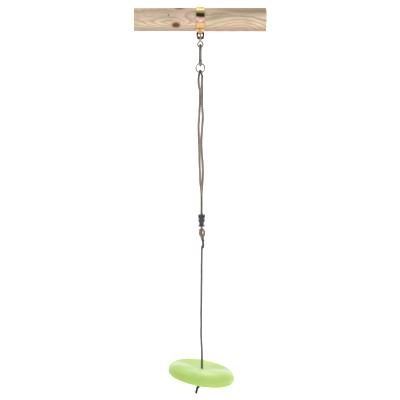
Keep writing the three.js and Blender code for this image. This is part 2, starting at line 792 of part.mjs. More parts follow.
const seatFrame = new THREE.Group();
seatFrame.position.set(...SEAT_PIVOT);
seatFrame.rotation.set(SEAT_PITCH, SEAT_ROLL, 0, "ZYX");
hang.add(seatFrame);
addPieces(seatFrame, { seat: seat() });

addPieces(hang, {
  seat_washer: seatWasher(),
  seat_knot: seatKnot(),
  seat_tail: seatTail(),
  whip_seat_tail: whipSeatTail(),
});

export default group;
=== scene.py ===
"""A hanging disc swing: a round timber pole with a clamp band, a twisted link, a snap hook, a
ring, a doubled rope with a length adjuster and a knot, then a single rope down to a green seat.

Pieces are drawn in millimetres about the hanging line, which crosses the pole's axis at the
origin, and are built in metres with the pole's left end at x = 0. The pole lies along X, Z is
up and the front faces -Y.
"""
import math
import random

import bmesh
import bpy
import numpy as np
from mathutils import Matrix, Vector


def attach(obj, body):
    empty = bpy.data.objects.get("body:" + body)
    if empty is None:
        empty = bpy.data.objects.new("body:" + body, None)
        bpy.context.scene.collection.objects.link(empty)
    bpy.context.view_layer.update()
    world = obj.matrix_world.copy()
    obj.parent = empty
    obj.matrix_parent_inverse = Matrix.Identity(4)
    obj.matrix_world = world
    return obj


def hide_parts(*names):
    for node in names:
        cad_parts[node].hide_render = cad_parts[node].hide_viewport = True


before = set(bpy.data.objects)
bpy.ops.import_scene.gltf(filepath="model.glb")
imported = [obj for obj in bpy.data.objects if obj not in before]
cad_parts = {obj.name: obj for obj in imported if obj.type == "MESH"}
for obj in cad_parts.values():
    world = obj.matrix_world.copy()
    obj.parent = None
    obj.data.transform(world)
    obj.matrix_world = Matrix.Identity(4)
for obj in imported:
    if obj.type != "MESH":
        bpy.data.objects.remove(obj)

random.seed(7)


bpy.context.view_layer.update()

# ------------------------------------------------------------------ driving sizes, mm

HANG_X = 284.0  # the hanging line, from the pole's left end
POLE_LENGTH = 566.0
CLAMP_BOLT_Z = -58.5
CROSS_AXIS = (0, 0, -78)  # the bolt across the stirrup, which carries the link
HOOK_ROD = 5.2  # radius of the rod
HOOK_FOOT_Z = -195.4  # centre of the rod at the hook's lowest point
HOOK_TURN = math.radians(8)
GATE_PIN = (0, -10.9, -131)
RING_R = 19.8  # to the middle of the wire
RING_WIRE = 3.2  # radius of the wire
RING_TURN = math.radians(20)
RING_Z = HOOK_FOOT_Z + HOOK_ROD + 0.4 + RING_WIRE - RING_R
SADDLE_Z = RING_Z - RING_R  # where the rope crosses the ring
ADJUSTER_X = 5.3
ROPE_HALF_GAP = 6.5  # each leg's distance from y = 0, in the adjuster
SWIVEL_X, SWIVEL_Z = 6.4, -993.6  # where the single rope parts and turns
HUB_X, HUB_Z = 7.2, -1543  # centre of the seat's ball joint

CLAMP = "pole_and_clamp"
ROPE_STEP = 1.6
KNOT_STEP = 0.9
STRAND_SIDES = 12
SQUARE = [(0, 0), (1, 0), (1, 1), (0, 1)]  # UVs of a plain quad

# ------------------------------------------------------------------ curves


def catmull(points, closed=False, per=24):
    """Centripetal Catmull-Rom curve through points, with `per` samples to a span."""
    pts = np.array(points, float)
    if closed:
        pts = np.vstack([pts[-1:], pts, pts[:2]])
    else:
        pts = np.vstack([2 * pts[0] - pts[1], pts, 2 * pts[-1] - pts[-2]])
    t = np.linspace(0, 1, per, endpoint=False)[:, None]
    out = []
    for p0, p1, p2, p3 in zip(pts, pts[1:], pts[2:], pts[3:]):
        d01, d12, d23 = (
            max(np.linalg.norm(step) ** 0.5, 1e-4) for step in (p1 - p0, p2 - p1, p3 - p2)
        )
        slope1 = ((p1 - p0) / d01 - (p2 - p0) / (d01 + d12) + (p2 - p1) / d12) * d12
        slope2 = ((p2 - p1) / d12 - (p3 - p1) / (d12 + d23) + (p3 - p2) / d23) * d12
        out.append(
            (2 * t**3 - 3 * t**2 + 1) * p1
            + (t**3 - 2 * t**2 + t) * slope1
            + (-2 * t**3 + 3 * t**2) * p2
            + (t**3 - t**2) * slope2
        )
    if not closed:
        out.append(pts[-2])
    return np.vstack(out)


def run(path):
    """Distance along the path at each of its points."""
    return np.r_[0, np.cumsum(np.linalg.norm(np.diff(path, axis=0), axis=1))]


def resample(path, step, closed=False):
    """Points at even steps along a path, and the distance at each."""
    if closed:
        path = np.vstack([path, path[0]])
    along = run(path)
    count = max(3, int(round(along[-1] / step)))
    even = np.linspace(0, along[-1], count + 1)
    if closed:
        even = even[:-1]
    return interpolate(even, along, path), even


def interpolate(wanted, along, field):
    return np.stack([np.interp(wanted, along, field[:, k]) for k in range(3)], 1)


def curve(points, step, closed=False):
    return resample(catmull(points, closed), step, closed)[0]


def in_yz(points):
    return [(0, y, z) for y, z in points]


def frames(path, closed=False):
    """Tangents and two cross directions along a path, carried on without twist."""

    def squared(vector, axis):
        vector = vector - axis * vector.dot(axis)
        return vector / np.linalg.norm(vector)

    if closed:
        tangent = np.roll(path, -1, 0) - np.roll(path, 1, 0)
    else:
        tangent = np.gradient(path, axis=0)
    tangent /= np.linalg.norm(tangent, axis=1)[:, None]
    side = np.zeros_like(path)
    lead = [1.0, 0, 0] if abs(tangent[0][0]) < 0.8 else [0, 1.0, 0]
    side[0] = squared(np.array(lead), tangent[0])
    for i in range(1, len(path)):
        side[i] = squared(side[i - 1], tangent[i])
    across = np.cross(tangent, side)
    if closed:
        # spread the leftover twist evenly, so that the loop's ends meet
        last = squared(side[-1], tangent[0])
        twist = math.atan2(last.dot(across[0]), last.dot(side[0]))
        turn = (-twist * np.arange(len(path)) / len(path))[:, None]
        side, across = (
            side * np.cos(turn) + across * np.sin(turn),
            across * np.cos(turn) - side * np.sin(turn),
        )
    return tangent, side, across


def both_ends(field, count=3):
    """Repeats the first and last rows, for the rings of a tube's caps."""
    return np.pad(field, ((count, count),) + ((0, 0),) * (field.ndim - 1), mode="edge")


# ------------------------------------------------------------------ pieces as meshes


def wrap(rings, around, v, closed=False):
    """Quads joining successive rings of points. v: the second UV value at each ring."""
    faces, uvs = [], []
    for i in range(rings if closed else rings - 1):
        j = (i + 1) % rings
        for k in range(around):
            l = (k + 1) % around
            faces.append((i * around + k, i * around + l, j * around + l, j * around + k))
            u0, u1 = k / around, (k + 1) / around
            uvs.append([(u0, v[i]), (u1, v[i]), (u1, v[i + 1]), (u0, v[i + 1])])
    return faces, uvs


def add_bevel(obj, width, segments, degrees):
    bevel = obj.modifiers.new("bevel", "BEVEL")
    bevel.width, bevel.segments = width * 0.001, segments
    bevel.limit_method, bevel.angle_limit = "ANGLE", math.radians(degrees)


def split_edges(obj, degrees):
    obj.modifiers.new("edges", "EDGE_SPLIT").split_angle = math.radians(degrees)


def fix_normals(obj):
    mesh = bmesh.new()
    mesh.from_mesh(obj.data)
    bmesh.ops.recalc_face_normals(mesh, faces=mesh.faces)
    mesh.to_mesh(obj.data)
    mesh.free()


def link_object(name, mesh):
    obj = bpy.data.objects.new(name, mesh)
    bpy.context.scene.collection.objects.link(obj)
    return obj


def set_smooth(mesh, smooth):
    mesh.polygons.foreach_set("use_smooth", [smooth] * len(mesh.polygons))


class Piece:
    """Collects the vertices, faces and UVs of one piece, in mm about the hanging line."""

    def __init__(self):
        self.verts, self.faces, self.uvs, self.crest = [], [], [], []
        self.count = 0

    def add(self, verts, faces, uvs):
        verts = np.asarray(verts, float)
        self.verts.append(verts)
        self.crest.append(np.ones(len(verts)))
        self.faces += [tuple(i + self.count for i in face) for face in faces]
        self.uvs += uvs
        self.count += len(verts)
        return self

    def tube(self, path, radius, sides=16, closed=False, v_shift=0.0):
        """A round bar along a path; an open one gets a low dome at each end."""
        tangent, side, across = frames(path, closed)
        radius = np.full(len(path), radius, float)
        length = run(path)
        if not closed:

            def dome(centre, outward, size):
                angles = (0.5, 1.0, 1.4)
                points = [centre + outward * (size * 0.25 * math.sin(a)) for a in angles]
                return points, [size * math.cos(a) for a in angles]

            start, start_r = dome(path[0], -tangent[0], radius[0])
            end, end_r = dome(path[-1], tangent[-1], radius[-1])
            path = np.vstack([start[::-1], path, end])
            radius = np.r_[start_r[::-1], radius, end_r]
            side, across, length = both_ends(side), both_ends(across), both_ends(length)
        rings = len(path)
        a = (2 * np.pi * np.arange(sides) / sides)[None, :, None]
        ring = path[:, None, :] + radius[:, None, None] * (
            np.cos(a) * side[:, None, :] + np.sin(a) * across[:, None, :]
        )
        verts = ring.reshape(-1, 3)
        faces, uvs = wrap(rings, sides, np.r_[length, length[-1] + 1] / 10 + v_shift, closed)
        if not closed:
            verts = np.vstack([verts, path[0], path[-1]])
            first, last = rings * sides, (rings - 1) * sides
            for k in range(sides):
                l = (k + 1) % sides
                faces += [(first, l, k), (first + 1, last + k, last + l)]
                uvs += [[(0.5, 0), (0, 0), (0.1, 0)]] * 2
        return self.add(verts, faces, uvs)

    def rope(self, path, radius, lay, phase, closed=False, taper=1.0, whole=None):
        """Three strands laid right-handed about a path of even steps.

        whole: the cross directions and distances of a longer rope this is a length of.
        """
        if whole is None:
            side, across = frames(path, closed)[1:]
            along = run(path)
        else:
            side, across, along = whole
        if closed:
            total = along[-1] + np.linalg.norm(path[0] - path[-1])
            lay = total / max(1, round(total / lay))
        strand_r = radius * 0.475
        reach = (radius * 0.525 * taper * np.ones(len(path)))[:, None]
        for k in range(3):
            turn = (2 * np.pi * along / lay + 2 * np.pi * k / 3 + phase)[:, None]
            centre = path + reach * (np.cos(turn) * side + np.sin(turn) * across)
            uneven = 1 + 0.04 * np.sin(along * 0.37 + k * 2.1) + 0.03 * np.sin(along * 0.91 + k)
            strand = strand_r * uneven * taper
            self.tube(centre, strand, STRAND_SIDES, closed, v_shift=k * 3.7)
            # how far each point stands out from the rope's middle: low in the grooves
            middle = np.repeat(path if closed else both_ends(path), STRAND_SIDES, 0)
            out = np.linalg.norm(self.verts[-1][: len(middle)] - middle, axis=1) / radius
            self.crest[-1][: len(out)] = out
        return self

    def cord(self, points, phase, closed=False, radius=4.9, lay=34, step=KNOT_STEP):
        """A length of knotted rope through points."""
        return self.rope(curve(points, step, closed), radius, lay, phase, closed)

    def turned(self, profile, sides, axis="z", at=(0, 0, 0), spin=0.0):
        """A closed profile of (radius, distance along the axis), turned about an axis."""
        angles = 2 * np.pi * np.arange(sides) / sides + spin
        verts = [(r * math.cos(a), r * math.sin(a), h) for r, h in profile for a in angles]
        order = {"x": [2, 0, 1], "y": [1, 2, 0], "z": [0, 1, 2]}[axis]
        rings = len(profile)
        heights = [i / rings for i in range(rings + 1)]
        faces, uvs = wrap(rings, sides, heights, closed=True)
        return self.add(np.array(verts)[:, order] + np.array(at, float), faces, uvs)

    def hexagon(self, radius, start, end, axis, at, bore=0.01, spin=0.0):
        """A bolt head or nut with chamfered corners."""
        chamfer, flat = radius * 0.09, radius * 0.86
        profile = [
            (bore, start), (flat, start), (radius, start + chamfer),
            (radius, end - chamfer), (flat, end), (bore, end),
        ]
        return self.turned(profile, 6, axis, at, spin)

    def loft(self, verts, around, v=None):
        """A solid through rings of points, closed flat at both ends."""
        rings = len(verts) // around
        faces, uvs = wrap(rings, around, v or [0] * rings)
        if v is None:
            uvs = [SQUARE] * len(uvs)
        faces.append(tuple(range(around))[::-1])
        faces.append(tuple((rings - 1) * around + k for k in range(around)))
        return self.add(verts, faces, uvs + [[(0, 0)] * around] * 2)

    def box(self, xs, ys, zs):
        verts = [(x, y, z) for z in zs for y in ys for x in xs]
        faces = [
            (0, 2, 3, 1), (4, 5, 7, 6), (0, 1, 5, 4), (2, 6, 7, 3), (0, 4, 6, 2), (1, 3, 7, 5),
        ]
        return self.add(verts, faces, [SQUARE] * 6)

    def spin(self, angle):
        """Turns what is there about the hanging line."""
        c, s = math.cos(angle), math.sin(angle)
        self.verts = [
            np.stack([q[:, 0] * c - q[:, 1] * s, q[:, 0] * s + q[:, 1] * c, q[:, 2]], 1)
            for q in self.verts
        ]
        return self

    def mesh(self, name, shift=HANG_X):
        mesh = bpy.data.meshes.new(name)
        verts = (np.vstack(self.verts) + np.array([shift, 0, 0])) * 0.001
        mesh.from_pydata(verts.tolist(), [], self.faces)
        return mesh

    def build(
        self, name, material, body, node, slot, bevel=0, segments=2, smooth=True, place=None
    ):
        """Makes the object. place: (location, rotation) of one drawn about its own origin."""
        mesh = self.mesh(name, HANG_X if place is None else 0)
        uv_map = mesh.uv_layers.new(name="UVMap")
        uv_map.data.foreach_set("uv", [c for face in self.uvs for uv in face for c in uv])
        crest = mesh.attributes.new("crest", "FLOAT", "POINT")
        crest.data.foreach_set("value", np.concatenate(self.crest).astype(np.float32))
        mesh.validate()
        if smooth:
            set_smooth(mesh, True)
        mesh.materials.append(MATERIALS[material])
        obj = link_object(name, mesh)
        if place is not None:
            obj.location, obj.rotation_euler = place
        if bevel:
            add_bevel(obj, bevel, segments, degrees=40)
        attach(obj, body)
        if node:
            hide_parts(node)
        return obj

    def build_hard(self, *args, flat=False, **options):
        """Makes a machined piece: flat faces, or smooth ones with sharp edges."""
        obj = self.build(*args, **options)
        fix_normals(obj)
        if flat:
            set_smooth(obj.data, False)
        else:
            split_edges(obj, 42)


def disc(inner, outer, start, end, round_by=0.3):
    """Profile of a washer or drum with rounded edges."""
    c = round_by
    return [
        (inner, start + c * 0.5), (inner + c * 0.5, start), (outer - c, start),
        (outer - c * 0.3, start + c * 0.3), (outer, start + c), (outer, end - c),
        (outer - c * 0.3, end - c * 0.3), (outer - c, end), (inner + c * 0.5, end),
        (inner, end - c * 0.5),
    ]


def span_on(side, near, far):
    """The low and high end of a stretch from near to far, on side 1 or -1."""
    return sorted((side * near, side * far))


def boolean(obj, piece, operation="DIFFERENCE"):
    """Joins a piece to an object's mesh, or cuts it away."""
    cutter = link_object("tmp", piece.mesh("tmp"))
    bpy.context.view_layer.update()
    modifier = obj.modifiers.new("b", "BOOLEAN")
    modifier.operation, modifier.object, modifier.solver = operation, cutter, "EXACT"
    graph = bpy.context.evaluated_depsgraph_get()
    mesh = bpy.data.meshes.new_from_object(obj.evaluated_get(graph))
    obj.modifiers.remove(modifier)
    old = obj.data
    obj.data = mesh
    bpy.data.meshes.remove(old)
    bpy.data.objects.remove(cutter)


# ------------------------------------------------------------------ material writer

MATERIALS = {}


def colour(value):
    """RGBA of a linear grey level, or of an sRGB colour in 0 to 255."""
    if isinstance(value, (int, float)):
        return (value, value, value, 1)
    parts = [c / 255 for c in value]
    return (*(c / 12.92 if c <= 0.04045 else ((c + 0.055) / 1.055) ** 2.4 for c in parts), 1.0)


def plug(tree, socket, value):
    """Links a socket into an input, or sets the input's value."""
    if isinstance(value, bpy.types.NodeSocket):
        tree.links.new(value, socket)
    else:
        socket.default_value = value


def new_node(tree, kind, ins=None, **settings):
    node = tree.nodes.new("ShaderNode" + kind)
    for key, value in settings.items():
        setattr(node, key, value)
    for key, value in (ins or {}).items():
        plug(tree, node.inputs[key], value)
    return node


class Mat:
    """A small writer for node materials. Most methods return an output socket."""

    def __init__(self, name):
        self.material = bpy.data.materials.new(name)
        self.material.use_nodes = True
        self.tree = self.material.node_tree
        self.tree.nodes.clear()
        self.out = self.node("OutputMaterial")
        self.bsdf = self.node("BsdfPrincipled")
        self.tree.links.new(self.bsdf.outputs[0], self.out.inputs[0])
        MATERIALS[name] = self.material

    def node(self, kind, ins=None, **settings):
        return new_node(self.tree, kind, ins, **settings)

    def coords(self, scale=(1, 1, 1), kind="Object"):
        source = self.node("TexCoord").outputs[kind]
        return self.node("Mapping", {"Vector": source, "Scale": scale}).outputs[0]

    def split(self, kind="Object"):
        """The plain coordinates as a vector, then as x, y and z."""
        source = self.node("TexCoord").outputs[kind]
        return (source, *self.node("SeparateXYZ", {0: source}).outputs)

    def combine(self, x, y):
        return self.node("CombineXYZ", {0: x, 1: y}).outputs[0]

    def noise(self, vector, scale, detail=3, rough=0.5):
        ins = {"Vector": vector, "Scale": scale, "Detail": detail, "Roughness": rough}
        return self.node("TexNoise", ins).outputs[0]

    def math(self, operation, *values):
        return self.node("Math", dict(enumerate(values)), operation=operation).outputs[0]

    def add(self, a, b):
        return self.math("ADD", a, b)

    def sub(self, a, b):
        return self.math("SUBTRACT", a, b)

    def mul(self, a, b):
        return self.math("MULTIPLY", a, b)

    def weigh(self, a, a_weight, b, b_weight):
        return self.add(self.mul(a, a_weight), self.mul(b, b_weight))

    def radius(self, a, b):
        return self.math("SQRT", self.add(self.mul(a, a), self.mul(b, b)))

    def ramp(self, factor, stops):
        """stops: {position: grey level or sRGB colour}"""
        node = self.node("ValToRGB", {"Fac": factor})
        elements = node.color_ramp.elements
        while len(elements) < len(stops):
            elements.new(0.5)
        for element, (position, value) in zip(elements, stops.items()):
            element.position = position
            element.color = colour(value)
        return node.outputs[0]

    def tint(self, base, amount, over):
        """Lays a colour or a socket over base."""
        if not isinstance(over, bpy.types.NodeSocket):
            over = colour(over)
        return self.node("Mix", {0: amount, 6: base, 7: over}, data_type="RGBA").outputs[2]

    def span(self, value, source, target=(0.0, 1.0)):
        """Maps the source range to the target range, held at both ends."""
        names = ("From Min", "From Max", "To Min", "To Max")
        ins = {"Value": value, **dict(zip(names, (*source, *target)))}
        return self.node("MapRange", ins).outputs[0]

    def attribute(self, name):
        return self.node("Attribute", attribute_name=name).outputs["Fac"]

    def set(self, **inputs):
        for key, value in inputs.items():
            plug(self.tree, self.bsdf.inputs[key.replace("_", " ")], value)

    def bump(self, height, strength, distance):
        ins = {"Height": height, "Strength": strength, "Distance": distance}
        self.set(Normal=self.node("Bump", ins).outputs[0])


# ------------------------------------------------------------------ materials


def metal(name, dark, light, rough, metallic, stain):
    """Plated steel: cloudy plating, fine drawing marks, stained patches."""
    mat = Mat(name)
    place = mat.coords()
    cloud = mat.noise(place, scale=220, detail=5, rough=0.6)
    fine = mat.noise(place, scale=2600, rough=0.7)
    marks = mat.noise(mat.coords((60, 2.5, 1), "UV"), scale=4, detail=4, rough=0.7)
    middle = tuple((a + b) / 2 for a, b in zip(dark, light))
    base = mat.ramp(mat.weigh(cloud, 0.75, fine, 0.25), {0.3: dark, 0.55: middle, 0.72: light})
    patches = mat.ramp(mat.noise(place, scale=90), {0.56: 0, 0.7: 0.7})
    mat.set(
        Base_Color=mat.tint(base, patches, stain),
        Metallic=metallic,
        Roughness=mat.span(mat.add(cloud, mat.mul(marks, 0.4)), (0.4, 1.0), rough),
    )
    mat.bump(mat.weigh(marks, 0.6, fine, 0.4), strength=0.25, distance=0.0002)


def pine():
    """The pole's side: year rings, knots and painted shade from its attributes, grain along X."""
    mat = Mat("pine_round")
    ring = mat.attribute("ringf")
    knot = mat.attribute("knotf")
    tone = mat.attribute("painted_shadef")
    place = mat.coords()
    streak = mat.noise(mat.coords((4, 70, 70)), scale=6, detail=6, rough=0.6)
    fibre = mat.noise(mat.coords((9, 420, 420)), scale=7, detail=4, rough=0.65)
    green_cloud = mat.noise(place, scale=9)
    wander = mat.mul(mat.noise(mat.coords((10, 40, 40)), scale=2.2), 0.5)
    phase = mat.math("FRACT", mat.add(ring, wander))
    late = mat.ramp(phase, {0.0: 0.1, 0.5: 0.0, 0.8: 0.75, 0.9: 1, 0.99: 0.1})
    pink_cloud = mat.noise(mat.coords((1.3, 1, 1)), scale=11)
    # drying cracks along the grain
    crack = mat.noise(mat.coords((2.2, 55, 55)), scale=4.3, detail=2, rough=0.4)
    crack = mat.ramp(crack, {0.70: 0, 0.735: 0.7})
    knot_colour = mat.ramp(knot, {0.3: (158, 120, 90), 0.7: (112, 80, 58), 1.0: (92, 62, 44)})
    base = mat.ramp(streak, {0.3: (200, 176, 148), 0.5: (232, 210, 182), 0.7: (248, 232, 208)})
    # layers over the base, lowest first
    for amount, over in (
        (mat.mul(late, 0.72), (160, 124, 96)),
        (mat.ramp(green_cloud, {0.5: 0, 0.66: 0.36}), (192, 188, 150)),
        (mat.ramp(pink_cloud, {0.52: 0, 0.68: 0.45}), (222, 182, 164)),
        (mat.ramp(fibre, {0.5: 0, 0.75: 0.3}), (150, 122, 96)),
        # painted shade of the round pole, from its attribute
        (mat.math("MINIMUM", tone, 0.85), (152, 126, 102)),
        (mat.ramp(knot, {0.12: 0, 0.45: 0.55, 0.62: 1}), knot_colour),
        (crack, (120, 92, 68)),
    ):
        base = mat.tint(base, amount, over)
    rough = mat.span(streak, (0.3, 0.8), (0.62, 0.86))
    mat.set(Base_Color=base, Roughness=rough, Specular_IOR_Level=0.3)
    height = mat.sub(mat.weigh(fibre, 0.5, late, 0.45), mat.mul(crack, 1.2))
    mat.bump(height, strength=0.6, distance=0.0006)


def pine_end():
    """The pole's sawn ends: rings about a pith off the centre, and radial checks."""
    mat = Mat("pine_end_grain")
    pith_y, pith_z = -0.004, 0.006
    rings_per_metre = 235
    _, _, y, z = mat.split()
    y = mat.add(y, -pith_y)
    z = mat.sub(z, pith_z)
    wander = mat.mul(mat.noise(mat.coords(), scale=22), 0.006)
    radius = mat.add(mat.radius(y, z), wander)
    phase = mat.math("FRACT", mat.mul(radius, rings_per_metre))
    late = mat.ramp(phase, {0: 0, 0.55: 0.1, 0.88: 1, 0.98: 0.1})
    fine = mat.noise(mat.coords(), scale=900, detail=4, rough=0.7)
    cloud = mat.noise(mat.coords(), scale=30, detail=4, rough=0.6)
    base = mat.ramp(cloud, {0.35: (196, 166, 130), 0.65: (222, 196, 160)})
    base = mat.tint(base, mat.mul(late, 0.6), (150, 112, 78))
    base = mat.tint(base, mat.ramp(radius, {0.0: 1, 0.005: 0}), (110, 76, 50))
    angle = mat.math("ARCTAN2", z, y)
    polar = mat.combine(mat.mul(angle, 3.2), mat.mul(radius, 9))
    check = mat.ramp(mat.noise(polar, scale=2.6, detail=2, rough=0.3), {0.72: 0, 0.75: 0.8})
    base = mat.tint(base, check, (92, 64, 44))
    mat.set(Base_Color=base, Roughness=0.88, Specular_IOR_Level=0.25)
    height = mat.sub(mat.weigh(fine, 0.5, late, 0.3), check)
    mat.bump(height, strength=0.6, distance=0.0006)


# painted reflections: the strap's colour in front, by height from the pole's axis in mm
BAND_REFLECTION_COLOURS = {
    -66: (128, 90, 52), -53: (244, 214, 164), -44: (228, 186, 120), -38: (160, 114, 58),
    -31: (214, 172, 104), -20: (222, 180, 122), -14: (200, 158, 112), -9.5: (150, 108, 92),
    -4: (240, 206, 188), 5: (252, 224, 210), 11.5: (150, 108, 94), 15: (58, 30, 20),
    24: (48, 26, 18), 29: (140, 112, 74), 33: (172, 160, 92), 44: (182, 166, 98),
    54: (150, 134, 80),
}


def band_zinc():
    """Yellow-passivated zinc: painted reflections run in light and dark bands round the strap, in
    the film's yellow, pink and gold.
    """
    mat = Mat("yellow_passivated_band")
    low, high = -66, 56  # heights the ramp runs between, mm
    source, _, y, z = mat.split()
    cloud = mat.noise(mat.coords(), scale=45, detail=4, rough=0.6)
    height = mat.add(z, mat.mul(mat.sub(cloud, 0.5), 0.006))
    back = mat.math("GREATER_THAN", y, 0.0)
    stops = {(at - low) / (high - low): value for at, value in BAND_REFLECTION_COLOURS.items()}
    # painted reflections, in bands by height on the front
    front_reflections = mat.ramp(mat.span(height, (low / 1000, high / 1000)), stops)
    cloud = mat.noise(mat.coords(), scale=28, detail=4, rough=0.6)
    back_colour = mat.ramp(
        cloud, {0.35: (196, 156, 92), 0.5: (226, 196, 120), 0.66: (214, 158, 128)}
    )
    base = mat.tint(front_reflections, mat.mul(back, 0.75), back_colour)
    fine = mat.noise(mat.coords((1200, 90, 90)), scale=1.0, detail=4, rough=0.6)
    spots = mat.ramp(mat.noise(mat.coords(), scale=520, rough=0.6), {0.62: 0, 0.75: 0.35})
    base = mat.tint(base, spots, (150, 118, 76))
    # a painted dark reflection low on the front; the distance to it is measured in a stretched
    # space
    stretch = (1, 0.4, 1.3)
    dark_reflection_at = (HANG_X - 5.5, -34.5, -37.7)
    stretched = mat.node("VectorMath", {0: source, 1: stretch}, operation="MULTIPLY").outputs[0]
    centre = tuple(s * p / 1000 for s, p in zip(stretch, dark_reflection_at))
    away = mat.node("VectorMath", {0: stretched, 1: centre}, operation="DISTANCE")
    near = mat.ramp(away.outputs["Value"], {0.0025: 0.8, 0.006: 0})
    # the painted dark reflection is laid over the base
    mat.set(
        Base_Color=mat.tint(base, near, (130, 84, 30)),
        Metallic=0.55,
        Roughness=mat.span(fine, (0.3, 0.8), (0.26, 0.42)),
    )
    mat.bump(mat.add(fine, spots), strength=0.2, distance=0.0002)


def rope_fibre(name, dark, middle, light, yarn=1.0, deep=0.9):
    """Hairy twisted yarn: each strand carries fine yarns laid the other way.

    yarn: how strongly the yarns show. deep: how dark the painted shade in the grooves between
    strands is.
    """
    mat = Mat(name)
    _, u, v, _ = mat.split("UV")
    phase = mat.sub(mat.mul(u, 7.0), mat.mul(v, 9.0))
    wave = mat.math("ABSOLUTE", mat.sub(mat.math("FRACT", phase), 0.5))
    place = mat.coords()
    hair = mat.noise(mat.coords((900, 900, 500)), scale=1.6, detail=5, rough=0.7)
    drift = mat.noise(place, scale=38)
    tone = mat.add(mat.weigh(wave, 0.7 * yarn, hair, 0.45), mat.mul(drift, 0.35))
    base = mat.ramp(tone, {0.30: dark, 0.55: middle, 0.85: light})
    # painted shade in the grooves between strands, where the crest attribute is low
    groove_shade = mat.ramp(mat.attribute("crest"), {0.78: deep, 0.97: 0})
    mat.set(
        Base_Color=mat.tint(base, groove_shade, tuple(c * 0.45 for c in dark)),
        Roughness=0.82,
        Specular_IOR_Level=0.25,
        Sheen_Weight=0.25,
        Sheen_Roughness=0.5,
    )
    mat.bump(mat.weigh(wave, 0.9, hair, 0.5), strength=0.8, distance=0.0005)


def plastic(name, tones, scuffed, rough, grain_scale, bump):
    """Moulded plastic. tones: dark, middle and light. scuffed: the colour of its scuffs."""
    mat = Mat(name)
    place = mat.coords()
    grain = mat.noise(place, scale=grain_scale, detail=5, rough=0.6)
    cloud = mat.noise(place, scale=13)
    flow = mat.noise(mat.coords((1, 1, 0.25)), scale=60, detail=4, rough=0.6)
    base = mat.ramp(mat.weigh(cloud, 0.65, flow, 0.35), dict(zip((0.32, 0.5, 0.68), tones)))
    scuff = mat.noise(mat.coords((1, 3, 1)), scale=160, detail=5, rough=0.75)
    scuff = mat.ramp(scuff, {0.63: 0, 0.8: 0.35})
    mat.set(
        Base_Color=mat.tint(base, scuff, scuffed),
        Roughness=mat.span(mat.add(grain, scuff), (0.35, 1.0), rough),
        Coat_Weight=0.0,
        Coat_Roughness=0.25,
    )
    mat.bump(mat.add(grain, scuff), strength=bump, distance=0.0003)


def seat_plastic():
    """Lime polyethylene with fine turned marks on the dish, which draw highlights out
    along the radius. Heights and radii are in metres from the seat's own origin."""
    mat = Mat("lime_polyethylene")
    _, x, y, z = mat.split()
    radius = mat.radius(x, y)
    angle = mat.math("ARCTAN2", y, x)
    place = mat.coords()
    cloud = mat.noise(place, scale=9)
    polar = mat.combine(mat.mul(angle, 1.6), mat.mul(radius, 3.0))
    sector = mat.noise(polar, scale=2.2)
    fine_polar = mat.combine(mat.mul(radius, 1400.0), mat.mul(angle, 0.8))
    grooves = mat.noise(fine_polar, scale=1.0, rough=0.7)
    grain = mat.noise(place, scale=900, detail=5, rough=0.65)
    base = mat.ramp(
        mat.weigh(cloud, 0.6, sector, 0.4),
        {0.34: (164, 204, 92), 0.5: (176, 209, 98), 0.66: (194, 212, 86)},
    )
    scuff = mat.noise(mat.coords((1, 1, 2)), scale=130, detail=6, rough=0.75)
    scuff = mat.ramp(scuff, {0.62: 0, 0.82: 0.35})
    base = mat.tint(base, scuff, (214, 232, 168))
    # painted highlight: the dish is made pale in two fans, one each side of the rope
    cosine = mat.math("DIVIDE", x, mat.math("MAXIMUM", radius, 0.001))
    side = mat.math("POWER", mat.math("ABSOLUTE", cosine), 26.0)
    reach = mat.mul(mat.span(radius, (0.008, 0.05)), mat.span(radius, (0.150, 0.135)))
    above = mat.span(mat.add(z, 0.0), (-0.012, 0.002))
    highlight_fan = mat.mul(mat.mul(side, reach), above)
    highlight_fan = mat.mul(highlight_fan, mat.span(sector, (0.2, 0.8), (0.55, 1.0)))
    base = mat.tint(base, mat.mul(highlight_fan, 0.85), (222, 235, 212))
    # the skirt: painted shade, darker and greener towards its lip; painted light where the rim
    # turns down
    base = mat.tint(base, mat.span(z, (-0.014, -0.031), (0.0, 0.62)), (158, 200, 78))
    rim = mat.mul(mat.span(z, (0.010, 0.002)), mat.span(z, (-0.018, -0.006)))
    base = mat.tint(base, mat.mul(rim, 0.4), (196, 224, 134))
    # painted highlight: paler in the dish's middle, towards the front
    dish = mat.mul(mat.span(radius, (0.095, 0.03)), mat.span(y, (0.012, -0.03)))
    base = mat.tint(base, mat.mul(dish, 0.4), (216, 230, 198))
    top = mat.span(z, (-0.001, 0.009))
    mat.set(
        Base_Color=base,
        Roughness=mat.span(mat.add(grain, mat.mul(scuff, 0.7)), (0.35, 1.2), (0.34, 0.55)),
        Subsurface_Weight=0.12,
        Subsurface_Radius=(0.6, 1.0, 0.3),
        Subsurface_Scale=0.004,
        Specular_IOR_Level=0.5,
        Sheen_Weight=0.22,
        Sheen_Roughness=0.35,
        Sheen_Tint=(0.95, 1.0, 0.95, 1.0),
        Anisotropic=mat.mul(top, 0.75),
        Tangent=mat.node("Tangent", direction_type="RADIAL", axis="Z").outputs[0],
    )
    turned_marks = mat.mul(grooves, mat.mul(top, 0.5))
    height = mat.add(turned_marks, mat.mul(mat.add(grain, scuff), 0.4))
    mat.bump(height, strength=0.35, distance=0.0003)


pine()
pine_end()
band_zinc()
seat_plastic()

# name, dark and light sRGB, roughness range, metallic, stain sRGB
for row in (
    ("dark_passivated", (18, 8, 3), (54, 31, 18), (0.34, 0.55), 0.6, (104, 74, 52)),
    # zinc_grey's warm tones are painted warm reflection from the band
    ("zinc_grey", (124, 108, 96), (216, 202, 190), (0.24, 0.44), 0.8, (122, 98, 80)),
    ("zinc_hook", (88, 83, 78), (172, 167, 161), (0.26, 0.46), 0.85, (104, 98, 92)),
    ("zinc_bright", (134, 130, 126), (208, 205, 201), (0.16, 0.32), 0.95, (134, 128, 122)),
):
    metal(*row)

